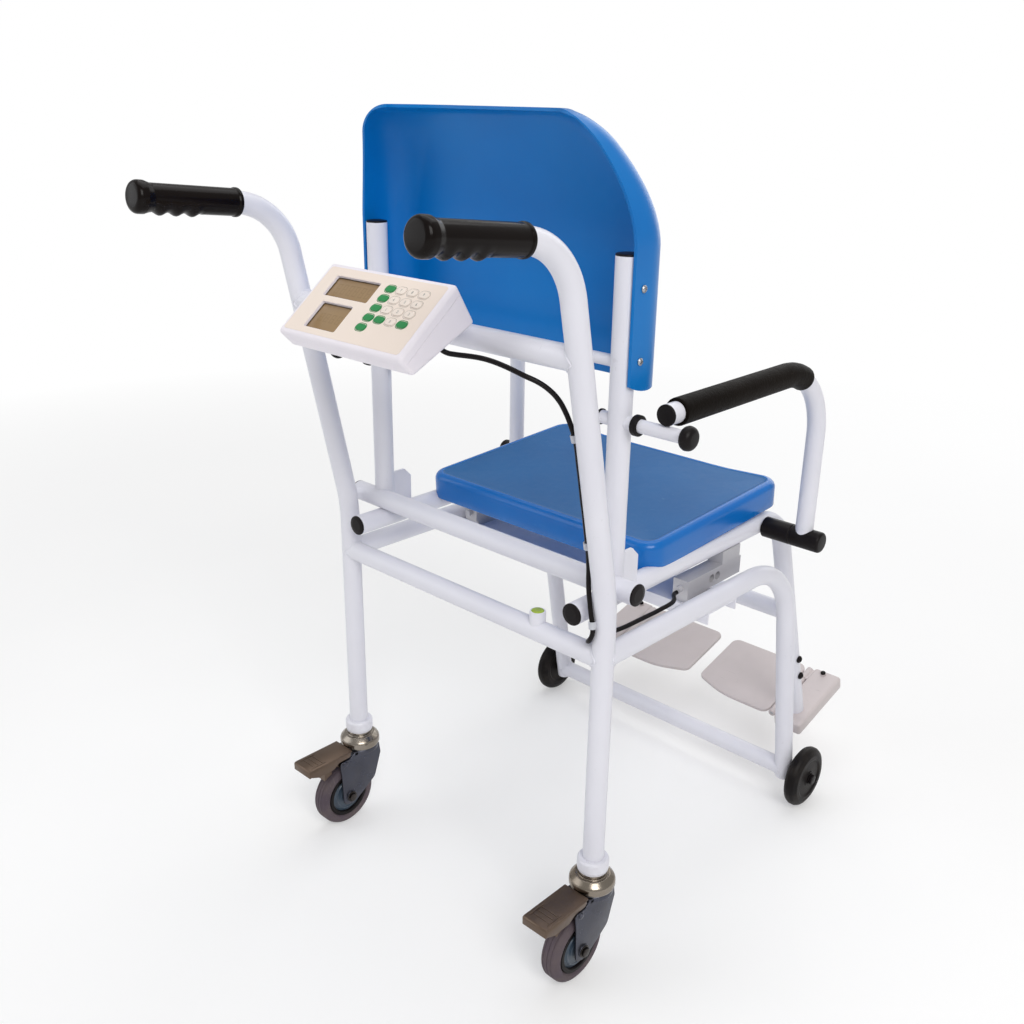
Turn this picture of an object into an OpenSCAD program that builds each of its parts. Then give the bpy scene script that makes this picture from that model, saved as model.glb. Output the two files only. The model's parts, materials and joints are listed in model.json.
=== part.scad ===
// Mobile chair scale: a wheeled tube frame carries a weighed chair frame on two load cells.
// Millimetres. Z is up, the seat faces -Y, and the origin is on the floor under the middle of the box.

/* [Base frame] */
// Outer diameter of the main frame tubes
tube_od = 28; // [26:0.5:30]
// Wall of the main frame tubes
tube_wall = 1.5; // [1:0.25:2.5]
// Distance between the two rear uprights, centre to centre
leg_spacing = 476; // [456:2:510]
// Height of the rear end of the side rails, at the tube centre
rail_z = 459; // [450:1:470]
// Drop of the side rails towards the front, in degrees
rail_drop = 0.7; // [0.2:0.1:1.5]
// Length from the upright to the corner where the front leg turns down
rail_length = 431; // [421:1:445]
// Forward lean of the front legs, in degrees
leg_lean = 10.2; // [8:0.2:12]
// Centreline radius of the front leg bends
leg_bend_r = 118; // [100:1:130]
// Height of the front crossbar, at the tube centre
front_bar_z = 58; // [52:1:66]

/* [Uprights and handles] */
// Height of the point where the uprights start to lean back
lean_z = 533; // [520:1:545]
// Backward lean of the uprights, in degrees
upright_lean = 12; // [9:0.5:14]
// Centreline radius of the bend where the lean starts
lean_bend_r = 279; // [200:1:300]
// Height of the corner where the upright turns into the handle
handle_z = 955; // [930:1:970]
// Centreline radius of the handle bends
handle_bend_r = 84; // [70:1:90]
// Rise of the handles towards the rear, in degrees
handle_rise = 6; // [2:0.5:9]
// Height of the upper crossbar, at the tube centre
upper_bar_z = 833; // [822:1:840]
// Length of a hand grip
grip_length = 138; // [120:1:150]
// Diameter of a hand grip
grip_d = 33; // [32:0.5:36]
// Diameter of the bulb at the end of a hand grip
grip_bulb_d = 38; // [36:0.5:42]

/* [Wheels] */
// Diameter of all four wheels
wheel_d = 100; // [90:1:106]
// Width of a castor tyre
caster_tyre_w = 28; // [24:1:30]
// Trail of the castors, from stem axis to axle
caster_trail = 37; // [32:1:40]
// Width of a front wheel
front_wheel_w = 24; // [20:1:26]
// Diameter of the front wheel bolts
front_axle_d = 10; // [8:0.5:12]
// How far the front wheel axles lie ahead of the leg ends
axle_lead = 12; // [8:1:14]
// Diameter of the castor stems
stem_d = 12; // [10:0.5:14]
// Length of the castor brake pedals
pedal_length = 88; // [80:1:94]
// Width of the castor brake pedals
pedal_w = 28; // [24:1:30]

/* [Weighed frame] */
// Height of the long beams under the seat, at the tube centre
beam_z = 510; // [505:1:516]
// How far the beams lie inside the side rails
beam_inset = 37; // [34:1:42]
// Length from the upright line to the corner where the beams turn down to the footrests
beam_length = 462; // [452:1:470]
// Forward lean of the footrest hangers, in degrees
hanger_lean = 18.4; // [16:0.2:20]
// Centreline radius of the hanger bends
hanger_bend_r = 80; // [60:1:90]
// Height of the footrest crossbar, at the tube centre
footrest_bar_z = 322; // [300:1:340]
// Half length of the rear seat crossbar
seat_bar_half = 257; // [250:1:262]
// Height of the top of the back posts
post_top_z = 930; // [915:1:940]
// Diameter of the thin rail between the back posts
thin_rail_d = 14; // [12:0.5:18]
// Height of the thin rail between the back posts
thin_rail_z = 808; // [800:1:822]

/* [Armrests] */
// Diameter of the armrest tubes
arm_od = 25; // [22:0.5:27]
// Height of the armrest tubes, at the tube centre
arm_z = 760.5; // [750:0.5:775]
// Distance from a beam out to the armrest
arm_offset = 76; // [72:1:82]
// Centreline radius of the armrest bends
arm_bend_r = 100; // [85:1:110]
// Diameter of the arm pads
pad_d = 32.5; // [30:0.5:36]
// Angle of the bend that the arm pads cover, in degrees
pad_turn = 35; // [25:1:45]
// Diameter of the pegs that the armrests rest on
peg_d = 16; // [14:0.5:18]
// Diameter of the armrest pivot rod
pivot_d = 20; // [16:0.5:22]
// Diameter of the armrest pivot sleeves
sleeve_d = 30; // [28:0.5:34]

/* [Seat and back] */
// Width of the seat shell
seat_w = 420; // [410:1:424]
// Depth of the seat shell, front to back
seat_d = 320; // [300:1:330]
// Height of the rear edge of the seat
seat_rear_z = 555; // [552:0.5:560]
// Rise of the seat towards the front, in degrees
seat_tilt = 2.8; // [2:0.1:3.5]
// Height of the seat shell, top to skirt edge
seat_h = 38; // [36:0.5:42]
// Thickness of the seat and back shells
shell_t = 4; // [3:0.5:5]
// Height of the lower edge of the back shell
back_bottom_z = 775; // [770:1:785]
// Height above which the back shell curls to the rear
back_curl_z = 935; // [925:1:950]
// Height of the top of the curl, below the lip
back_top_z = 1071; // [1050:1:1085]
// Depth of the side flanges of the back shell
flange_depth = 71; // [60:1:76]

/* [Footplates] */
// Length of a footplate, front to back
plate_length = 140; // [130:1:150]
// Width of a footplate
plate_w = 150; // [130:1:156]
// Thickness of a footplate
plate_t = 6; // [5:0.5:8]
// Slope of the footplates, in degrees
plate_slope = 14.6; // [10:0.2:18]
// Height of the middle of a footplate's top face
plate_z = 122.6; // [118:0.5:130]
// Width of a footplate block
block_w = 50; // [44:1:52]
// Height of a footplate block
block_h = 25; // [22:1:30]

/* [Load cells] */
// Width of the channel that carries the load cells, front to back
channel_w = 70; // [60:1:80]
// Height of the channel
channel_h = 17; // [14:1:20]
// Distance from the upright line to the rear face of the channel
channel_back = 211; // [200:1:220]
// Length of a load cell
cell_length = 130; // [120:1:140]
// Width of a load cell
cell_w = 24; // [20:1:28]
// Height of a load cell
cell_h = 26; // [22:1:30]

/* [Indicator] */
// Width of the indicator housing
case_w = 212; // [200:1:220]
// Length of the sloping face of the indicator
face_length = 110; // [106:1:116]
// Slope of the indicator's face, in degrees
face_tilt = 39.5; // [35:0.5:42]
// Wall of the indicator housing
case_wall = 2.5; // [2:0.25:3]
// Length of a key
key_l = 15; // [13:0.5:15.5]
// Width of a key
key_w = 9; // [7.5:0.25:9.5]
// Height of a key above the face
key_rise = 1.3; // [0.8:0.1:2]
// Width of the upper display window
window_1_w = 78; // [70:1:80]
// Width of the lower display window
window_2_w = 55; // [50:1:60]

/* [Lead and level] */
// Diameter of the load cell lead
lead_d = 6; // [5:0.25:6]
// Diameter of the spirit level
level_d = 17; // [14:0.5:18]
// Distance of the spirit level from the middle of the crossbar
level_x = 132; // [110:1:150]

/* [Hidden] */
$fn = 48;

// Colours
paint = [0.89, 0.9, 0.95];
blue = [0.1, 0.42, 0.74];
seat_blue = [0.12, 0.38, 0.62];
black = [0.1, 0.09, 0.1];
pad_brown = [0.22, 0.19, 0.16];
plate_grey = [0.75, 0.71, 0.7];
zinc = [0.6, 0.56, 0.5];
steel = [0.7, 0.72, 0.75];
tyre_grey = [0.42, 0.37, 0.4];
housing_white = [0.92, 0.9, 0.9];
key_green = [0.22, 0.56, 0.32];
key_white = [0.95, 0.94, 0.93];
display_olive = [0.59, 0.47, 0.33];
level_green = [0.72, 0.85, 0.3];

// Fits and small gaps
run_gap = 0.05;
hinge_gap = 0.5;
rest_gap = 0.3;
slide_gap = 0.2;
seat_gap = 0.05;

// Half length and extra diameter of the seams between straight and bent tube
seam = 0.1;
seam_step = 0.1;

// Half spacings, all worked out from the spacing of the uprights
leg_half = leg_spacing / 2;
beam_half = leg_half - beam_inset;
post_offset = 10;
post_half = beam_half + post_offset;
arm_half = beam_half + arm_offset;
tube_id = tube_od - 2 * tube_wall;
tube_r = tube_od / 2;

// Heights of the castors and of what stands on them
wheel_r = wheel_d / 2;
head_clear = 4;
head_z = wheel_d + head_clear;
head_h = 22;
neck_h = 17;
collar_z = head_z + head_h + neck_h;
collar_h = 26.5;
collar_floor = 6;
collar_wall = 7;
bush_h = 40;

// Paths of the bent tubes, as points of [y, z] from the upright line
handle_y = (handle_z - lean_z) * tan(upright_lean);
handle_back = handle_bend_r * tan((90 - upright_lean - handle_rise) / 2);
grip_start = handle_back + 1;
tube_reach = grip_start + grip_length - 10;
upright_path = [
  [0, collar_z + collar_floor],
  [0, lean_z],
  [handle_y, handle_z],
  [handle_y + tube_reach * cos(handle_rise), handle_z + tube_reach * sin(handle_rise)]
];
upright_radii = [0, lean_bend_r, handle_bend_r, 0];
corner_z = rail_z - rail_length * tan(rail_drop);
leg_end_z = front_bar_z - tube_r;
leg_end_y = -rail_length - (corner_z - leg_end_z) * tan(leg_lean);
front_bar_y = -rail_length - (corner_z - front_bar_z) * tan(leg_lean);
side_path = [[0, rail_z], [-rail_length, corner_z], [leg_end_y, leg_end_z]];
side_radii = [0, leg_bend_r, 0];
axle_y = front_bar_y - axle_lead;
beam_back = 16;
cap_t = 3;
hanger_end_z = plate_z - 10;
hanger_end_y = -beam_length - (beam_z - hanger_end_z) * tan(hanger_lean);
beam_path = [[beam_back, beam_z], [-beam_length, beam_z], [hanger_end_y, hanger_end_z]];
beam_radii = [0, hanger_bend_r, 0];
footrest_bar_y = -beam_length - (beam_z - footrest_bar_z) * tan(hanger_lean);

// Box of the whole object, which sets the origin
grip_edge_r = 7;
grip_end = grip_start + grip_length;
back_reach = handle_y + (grip_end - grip_edge_r) * cos(handle_rise)
  + (grip_bulb_d / 2 - grip_edge_r) * sin(handle_rise) + grip_edge_r;
plate_mid_y = hanger_end_y - 37;
block_end = 2;
block_top = 2;
front_reach = -plate_mid_y + (plate_length / 2 + block_end) * cos(plate_slope)
  + (block_h - block_top) * sin(plate_slope);
origin_y = (front_reach - back_reach) / 2;

// Seat supports
seat_bar_sink = 1;
seat_bar_y = -35;
seat_bar_z = beam_z + tube_od - seat_bar_sink;
post_y = -45;
peg_z = arm_z - (arm_od + peg_d) / 2 - rest_gap;
pivot_y = -398;
collar_x = post_half + tube_r + 12;
knob_x = arm_half + arm_od / 2 + 11;
knob_l = 14;
knob_r = peg_d / 2 + 4.5;
knob_round = 4;
small_cap_t = 3;

// Moves what is drawn from the upright line to the origin
module place() {
  translate([0, origin_y, 0]) children();
}

function wrap(a) = a > 180 ? a - 360 : a < -180 ? a + 360 : a;
function heading(path, i) = atan2(path[i + 1][1] - path[i][1], path[i + 1][0] - path[i][0]);
function turn(path, i) = wrap(heading(path, i) - heading(path, i - 1));
function cut_back(path, radii, i) =
  i <= 0 || i >= len(path) - 1 ? 0 : radii[i] * tan(abs(turn(path, i)) / 2);
function along(p, a, d) = [p[0] + d * cos(a), p[1] + d * sin(a)];
function longer(path, d) = [
  for (i = [0 : len(path) - 1])
    i == 0 ? along(path[0], heading(path, 0), -d)
    : i == len(path) - 1 ? along(path[i], heading(path, i - 1), d)
    : path[i]
];

// One bend of a rod in the YZ plane, about the corner i of its path, short of its ends by a sliver
module rod_bend(path, radii, i, d) {
  a = heading(path, i - 1);
  s = turn(path, i);
  side = s > 0 ? 1 : -1;
  start = s > 0 ? a - 90 : a + s + 90;
  near = along(path[i], a, -cut_back(path, radii, i));
  short = seam / radii[i] * 180 / PI;
  translate([0, near[0] - side * radii[i] * sin(a), near[1] + side * radii[i] * cos(a)])
    rotate([start + short, 0, 0]) rotate([90, 0, 90])
      rotate_extrude(angle = abs(s) - 2 * short) translate([radii[i], 0]) circle(d = d);
}

// A round rod along a path in the YZ plane. A thin disc, wider by step, joins each straight to its bend
module bent_rod(path, radii, d, step = seam_step) {
  for (i = [0 : len(path) - 2]) {
    a = heading(path, i);
    first = along(path[i], a, cut_back(path, radii, i) + (i > 0 ? seam : 0));
    last = along(path[i + 1], a, -cut_back(path, radii, i + 1) - (i < len(path) - 2 ? seam : 0));
    translate([0, first[0], first[1]]) rotate([a - 90, 0, 0]) cylinder(d = d, h = norm(last - first));
  }
  for (i = [1 : len(path) - 2]) {
    rod_bend(path, radii, i, d);
    for (end = [[heading(path, i - 1), -1], [heading(path, i), 1]]) {
      spot = along(path[i], end[0], end[1] * cut_back(path, radii, i));
      translate([0, spot[0], spot[1]]) rotate([end[0] - 90, 0, 0])
        cylinder(d = d + step, h = 4 * seam, center = true);
    }
  }
}

// A round tube along a path in the YZ plane, open at both ends
module bent_tube(path, radii, od, id) {
  difference() {
    bent_rod(path, radii, od);
    bent_rod(longer(path, 1), radii, id, -seam_step);
  }
}

// A rod along X between two places
module cross_rod(x0, x1, y, z, d) {
  translate([x0, y, z]) rotate([0, 90, 0]) cylinder(d = d, h = x1 - x0);
}

// A tube along X, centred
module cross_tube(half, y, z, od, id) {
  difference() {
    cross_rod(-half, half, y, z, od);
    cross_rod(-half - 1, half + 1, y, z, id);
  }
}

// A plate in the YZ plane, centred on x
module side_plate(x, t, points) {
  translate([x - t / 2, 0, 0]) rotate([90, 0, 90]) linear_extrude(height = t) polygon(points);
}

// A rectangle with round corners, centred
module round_rect(w, d, r) {
  square([w - 2 * r, d], center = true);
  square([w, d - 2 * r], center = true);
  for (x = [-1, 1], y = [-1, 1]) translate([x * (w / 2 - r), y * (d / 2 - r)]) circle(r = r);
}

// A flat oval, centred
module oval(l, w) {
  square([l - w, w], center = true);
  for (x = [-1, 1]) translate([x * (l - w) / 2, 0]) circle(d = w);
}

module side_rail_solid(side) {
  translate([side * leg_half, 0, 0]) bent_rod(side_path, side_radii, tube_od);
}

module upright_solid(side) {
  translate([side * leg_half, 0, 0]) bent_rod(upright_path, upright_radii, tube_od);
}

module beam_solid(side) {
  translate([side * beam_half, 0, 0]) bent_rod(beam_path, beam_radii, tube_od);
}

// Base frame

module upright(side) {
  color(paint) place() translate([side * leg_half, 0, 0])
    bent_tube(upright_path, upright_radii, tube_od, tube_id);
}

module upright_left() { upright(1); }
module upright_right() { upright(-1); }

boss_d = 24;
axle_gap = 4;
wheel_x = leg_half + tube_r + axle_gap + front_wheel_w / 2;

boss_x = leg_half - tube_r + 2;

module wheel_boss(side) {
  scale([side, 1, 1]) cross_rod(boss_x, leg_half + tube_r + axle_gap - 1, axle_y, wheel_r, boss_d);
}

// Side rail and front leg in one bent tube, with the boss for the front wheel's bolt
module side_rail(side) {
  color(paint) place() difference() {
    union() {
      translate([side * leg_half, 0, 0]) bent_tube(side_path, side_radii, tube_od, tube_id);
      wheel_boss(side);
    }
    upright_solid(side);
    cross_rod(-leg_half, leg_half, 0, lower_bar_z, tube_od);
    scale([side, 1, 1]) cross_rod(boss_x - 1, wheel_x, axle_y, wheel_r, front_axle_d + 2 * run_gap);
  }
}

module side_rail_left() { side_rail(1); }
module side_rail_right() { side_rail(-1); }

function lean_at(z) = (z - lean_z) * tan(upright_lean);

// The indicator's face, as seen by its reader: X to the right, Y up the slope, Z out
face_y = 112;
face_z = 901;
case_depth_top = 53.3;
case_depth_low = 29.5;
case_in_top = 7.7;
case_in_low = 3;
floor_rise = case_depth_top - case_depth_low;
floor_run = face_length - case_in_top - case_in_low;
floor_tilt = atan(floor_rise / floor_run);

module on_face() {
  place() translate([0, face_y, face_z]) rotate([-face_tilt, 0, 0]) rotate([0, 0, 180]) children();
}

// The outside of the indicator's floor: Y up the slope, Z into the housing
module on_floor() {
  on_face() translate([0, -case_in_top, -case_depth_top]) rotate([-floor_tilt, 0, 0]) children();
}

function face_point(y, z) = [
  face_y - y * cos(face_tilt) + z * sin(face_tilt),
  face_z + y * sin(face_tilt) + z * cos(face_tilt)
];
function floor_point(a, b) = face_point(
  -case_in_top - a * cos(floor_tilt) + b * sin(floor_tilt),
  -case_depth_top + a * sin(floor_tilt) + b * cos(floor_tilt)
);

bracket_t = 3;
bracket_w = 120;
bracket_l = 56;
tab_x = 42;
tab_t = 5;

// Upper crossbar with the welded bracket that carries the indicator
module upper_crossbar() {
  bar_y = lean_at(upper_bar_z);
  color(paint) difference() {
    union() {
      place() cross_rod(-leg_half, leg_half, bar_y, upper_bar_z, tube_od);
      place() for (x = [-tab_x, tab_x])
        side_plate(x, tab_t, [
          [bar_y, upper_bar_z], [bar_y + 6, upper_bar_z - 8],
          floor_point(bracket_l - 4, -bracket_t + 0.5), floor_point(4, -bracket_t + 0.5)
        ]);
      on_floor() translate([-bracket_w / 2, -bracket_l, -bracket_t]) cube([bracket_w, bracket_l, bracket_t]);
    }
    place() cross_rod(-leg_half, leg_half, bar_y, upper_bar_z, tube_id);
    place() upright_solid(1);
    place() upright_solid(-1);
  }
}

level_boss_d = 21;
level_boss_h = 12;
level_h = 8;
lower_bar_z = rail_z - 1;

// Lower crossbar with the boss that holds the spirit level
module lower_crossbar() {
  boss_top = lower_bar_z + tube_r + level_boss_h;
  color(paint) place() difference() {
    union() {
      cross_rod(-leg_half, leg_half, 0, lower_bar_z, tube_od);
      translate([-level_x, 0, lower_bar_z]) cylinder(d = level_boss_d, h = boss_top - lower_bar_z);
    }
    cross_rod(-leg_half, leg_half, 0, lower_bar_z, tube_id);
    translate([-level_x, 0, boss_top - level_h]) cylinder(d = level_d, h = level_h + 1);
    upright_solid(1);
    upright_solid(-1);
  }
}

module bubble_level() {
  boss_top = lower_bar_z + tube_r + level_boss_h;
  color(level_green) place() translate([-level_x, 0, boss_top - level_h]) {
    cylinder(d = level_d, h = level_h + 1);
    translate([0, 0, level_h]) cylinder(d = level_d - 3, h = 2);
  }
}

module front_crossbar() {
  color(paint) place() difference() {
    cross_tube(leg_half, front_bar_y, front_bar_z, tube_od, tube_id);
    for (side = [-1, 1]) {
      side_rail_solid(side);
      wheel_boss(side);
    }
  }
}

// Channel under the side rails that carries the load cells
channel_half = leg_half + 10;
channel_mid = -channel_back - channel_w / 2;
channel_sink = 5;
channel_top = rail_z - (channel_back + channel_w / 2) * tan(rail_drop) - tube_r + channel_sink;
channel_t = 3;

module cell_channel() {
  color(paint) place() difference() {
    translate([-channel_half, channel_mid - channel_w / 2, channel_top - channel_h])
      cube([2 * channel_half, channel_w, channel_h]);
    translate([-channel_half - 1, channel_mid - channel_w / 2 + channel_t, channel_top - channel_h - 1])
      cube([2 * channel_half + 2, channel_w - 2 * channel_t, channel_h - channel_t + 1]);
    side_rail_solid(1);
    side_rail_solid(-1);
    for (x = [-beam_half, beam_half], y = cell_base_bolts)
      translate([x, y, channel_top - channel_h]) cylinder(d = bolt_d, h = channel_h + 1);
  }
}

// Load cells: the rear end stands on the channel, the front end carries the beam
cell_back = -channel_back - 1;
cell_pad_l = 44;
bolt_d = 8;
bolt_pitch = 24;
cell_base_mid = cell_back - 4 - cell_pad_l / 2;
cell_top_mid = cell_back - cell_length + 4 + cell_pad_l / 2;
cell_base_bolts = [cell_base_mid - bolt_pitch / 2, cell_base_mid + bolt_pitch / 2];
cell_top_bolts = [cell_top_mid - bolt_pitch / 2, cell_top_mid + bolt_pitch / 2];
base_pad_h = 8;
cell_z = channel_top + base_pad_h;
cell_top_z = cell_z + cell_h;
gland_l = 8;
gland_d = 10;
saddle_sink = 4;

module load_cells() {
  color(steel) for (x = [-beam_half, beam_half]) place() {
    difference() {
      union() {
        translate([x - cell_w / 2, cell_back - cell_length, cell_z]) cube([cell_w, cell_length, cell_h]);
        translate([x, cell_back, cell_z + cell_h / 2]) rotate([-90, 0, 0]) cylinder(d = gland_d, h = gland_l);
      }
      for (y = [-1, 1])
        cross_rod(x - cell_w, x + cell_w, cell_back - cell_length / 2 + y * 7, cell_z + cell_h / 2, 12);
      for (y = cell_base_bolts)
        translate([x, y, cell_z - 1]) cylinder(d = bolt_d, h = 15);
      for (y = cell_top_bolts)
        translate([x, y, cell_top_z - 14]) cylinder(d = bolt_d, h = 15);
    }
    difference() {
      translate([x - cell_w / 2, cell_base_mid - cell_pad_l / 2, channel_top])
        cube([cell_w, cell_pad_l, base_pad_h - seat_gap]);
      for (y = cell_base_bolts)
        translate([x, y, channel_top - 1]) cylinder(d = bolt_d, h = base_pad_h + 2);
    }
    difference() {
      translate([x - cell_w / 2, cell_top_mid - cell_pad_l / 2, cell_top_z + seat_gap])
        cube([cell_w, cell_pad_l, beam_z - tube_r + saddle_sink - cell_top_z - seat_gap]);
      cross_rod_y(x, beam_z, tube_od, cell_top_mid);
      for (y = cell_top_bolts)
        translate([x, y, cell_top_z - 1]) cylinder(d = bolt_d, h = beam_z - cell_top_z);
    }
  }
}

// A rod along Y over a load cell's pad
module cross_rod_y(x, z, d, mid) {
  translate([x, mid - cell_pad_l, z]) rotate([-90, 0, 0]) cylinder(d = d, h = 2 * cell_pad_l);
}

// Weighed frame

// Beam under the seat and footrest hanger in one bent tube
module beam(side) {
  color(paint) place() difference() {
    translate([side * beam_half, 0, 0]) bent_tube(beam_path, beam_radii, tube_od, tube_id);
    foot_block_solid(side);
    cross_rod(-arm_half, arm_half, pivot_y, beam_z, pivot_d);
    for (y = cell_top_bolts)
      translate([side * beam_half, y, beam_z - tube_od]) cylinder(d = bolt_d, h = tube_od);
    for (z = hanger_bolt_z)
      scale([side, 1, 1]) cross_rod(beam_half, beam_half + tube_od, hanger_y(z), z, hanger_bolt_d);
  }
}

module beam_left() { beam(1); }
module beam_right() { beam(-1); }

sleeve_in = beam_half + tube_r + 1;
sleeve_out = arm_half + 29;
sleeve_cap = 3;
rod_end = sleeve_out - sleeve_cap - hinge_gap;

// Rear seat crossbar, the armrest pivot rod through both beams, and the footrest crossbar
module seat_crossbars() {
  color(paint) place() {
    difference() {
      cross_tube(seat_bar_half, seat_bar_y, seat_bar_z, tube_od, tube_id);
      beam_solid(1);
      beam_solid(-1);
    }
    cross_rod(-rod_end, rod_end, pivot_y, beam_z, pivot_d);
    difference() {
      cross_tube(beam_half, footrest_bar_y, footrest_bar_z, tube_od, tube_id);
      beam_solid(1);
      beam_solid(-1);
    }
  }
}

gusset_t = 4;
gusset_l = 35;
gusset_top = 570;
peg_in = post_half - tube_r - 12;
peg_out = knob_x + knob_l - 4;

// Back posts with the thin rail, the armrest pegs and the gusset plates welded to them
module back_frame() {
  color(paint) place() difference() {
    union() {
      for (side = [-1, 1]) {
        translate([side * post_half, post_y, seat_bar_z])
          cylinder(d = tube_od, h = post_top_z - cap_t - seat_bar_z);
        scale([side, 1, 1]) cross_rod(peg_in, peg_out, post_y, peg_z, peg_d);
        side_plate(side * post_half, gusset_t, [
          [post_y, beam_z], [post_y - tube_r - gusset_l, beam_z],
          [post_y - tube_r - gusset_l, gusset_top - 12], [post_y - tube_r - gusset_l + 12, gusset_top],
          [post_y, gusset_top]
        ]);
      }
      cross_rod(-post_half, post_half, post_y, thin_rail_z, thin_rail_d);
    }
    for (side = [-1, 1]) {
      translate([side * post_half, post_y, seat_bar_z - tube_od]) cylinder(d = tube_id, h = post_top_z);
      beam_solid(side);
      for (z = shell_screws_z)
        scale([side, 1, 1]) cross_rod(post_half, post_half + tube_od, screw_y, z, screw_d);
    }
    cross_rod(-seat_bar_half, seat_bar_half, seat_bar_y, seat_bar_z, tube_od);
  }
}

// A black plug for an open tube end that faces along +Z
module tube_plug() {
  cylinder(d = tube_od, h = cap_t);
  translate([0, 0, -12]) cylinder(d = tube_id, h = 12);
}

module end_plugs() {
  color(black) place() for (side = [-1, 1]) {
    translate([side * post_half, post_y, post_top_z - cap_t]) tube_plug();
    translate([side * beam_half, beam_back, beam_z]) rotate([-90, 0, 0]) tube_plug();
    translate([side * seat_bar_half, seat_bar_y, seat_bar_z]) rotate([0, side * 90, 0]) tube_plug();
    scale([side, 1, 1]) {
      cross_rod(peg_in - small_cap_t, peg_in, post_y, peg_z, peg_d + 3);
      difference() {
        cross_rod(collar_x - 4, collar_x + 4, post_y, peg_z, peg_d + 9);
        cross_rod(collar_x - 5, collar_x + 5, post_y, peg_z, peg_d);
      }
      difference() {
        translate([knob_x, post_y, peg_z]) rotate([0, 90, 0]) rotate_extrude() {
          square([knob_r - knob_round, knob_l]);
          translate([0, knob_round]) square([knob_r, knob_l - 2 * knob_round]);
          for (z = [knob_round, knob_l - knob_round])
            translate([knob_r - knob_round, z]) circle(r = knob_round);
        }
        cross_rod(knob_x - 1, peg_out, post_y, peg_z, peg_d);
      }
    }
  }
}

// Seat shell

seat_back_y = -127;
seat_edge = 10;
seat_corner = 30;
rib_w = 6;
rib_inset = 9;

// The seat's outer form, open below, smaller by an inset
module seat_form(inset, drop) {
  w = seat_w - 2 * inset;
  d = seat_d - 2 * inset;
  r = seat_corner - inset;
  translate([0, -seat_d / 2, -drop]) {
    translate([0, 0, -seat_h - 1 + drop])
      linear_extrude(height = seat_h + 1 - drop - seat_edge) round_rect(w, d, r);
    for (k = [0 : 2]) hull() {
      translate([0, 0, -seat_edge * (1 - sin(30 * k))]) linear_extrude(height = 0.01) edge_slice(w, d, r, k);
      translate([0, 0, -seat_edge * (1 - sin(30 * k + 30)) - 0.01])
        linear_extrude(height = 0.01) edge_slice(w, d, r, k + 1);
    }
  }
}

function edge_in(k) = seat_edge * (1 - cos(30 * k));

// The seat's outline at one step of its rounded edge
module edge_slice(w, d, r, k) {
  round_rect(w - 2 * edge_in(k), d - 2 * edge_in(k), r - edge_in(k));
}

module seat_shell() {
  color(seat_blue) place() difference() {
    translate([0, seat_back_y, seat_rear_z]) rotate([-seat_tilt, 0, 0]) {
      difference() {
        seat_form(0, 0);
        seat_form(shell_t, shell_t);
        translate([-seat_w, -2 * seat_d, -seat_h - 10]) cube([2 * seat_w, 3 * seat_d, 10]);
      }
      for (side = [-1, 1])
        translate([side * (seat_w / 2 - rib_inset) - rib_w / 2, -seat_d + shell_t + 1, -seat_h])
          cube([rib_w, seat_d - 2 * shell_t - 2, seat_h - shell_t + 0.5]);
    }
    beam_solid(1);
    beam_solid(-1);
  }
}

// Back shell

back_half = post_half + tube_r + 0.4 + shell_t;
panel_y = post_y - tube_r - 44;
flange_y = panel_y - shell_t + flange_depth;
corner_r = 42;
side_draw = 55;
panel_draw = 50;
flange_draw = 32;
lip_rise = 4.5;
lip_roll = 10;
lip_side = 35;
arc_steps = 7;
level_count = 12;

// Share of the curl at a height, and the section there as [half width, front, rear edge, corner radius, height]
function curl(z) = z < back_curl_z ? 0 : pow((z - back_curl_z) / (back_top_z - back_curl_z), 2);
function back_row(z) = [
  back_half - side_draw * curl(z), panel_y - shell_t + panel_draw * curl(z),
  flange_y + flange_draw * curl(z), corner_r + 4 * curl(z), z
];
function lip_row(q) = let(top = back_row(back_top_z)) [
  top[0] - lip_side * (1 - cos(90 * q)), top[1] + lip_roll * (1 - cos(90 * q)),
  top[2] + (top[1] + 16 - top[2]) * q, top[3] - 30 * q, top[4] + lip_rise * sin(90 * q)
];
back_levels = [
  back_bottom_z, (back_bottom_z + back_curl_z) / 2, back_curl_z,
  for (i = [1 : level_count - 3]) back_curl_z + (back_top_z - back_curl_z) * i / (level_count - 3)
];
back_rows = concat([for (z = back_levels) back_row(z)], [for (q = [0.4, 0.7, 1]) lip_row(q)]);

// Half of a section outline, from the flange's rear edge to the panel
function half_section(row, t) = [
  [row[0] - t, row[2]],
  for (k = [0 : arc_steps]) let(a = 90 * k / arc_steps, r = row[3] - t)
    [row[0] - t - r + r * cos(a), row[1] + t + r - r * sin(a)]
];
function section(row, t) = let(h = half_section(row, t), n = len(h)) concat(
  [for (p = h) [p[0], p[1], row[4]]],
  [for (k = [n - 1 : -1 : 0]) [-h[k][0], h[k][1], row[4]]]
);

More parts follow.
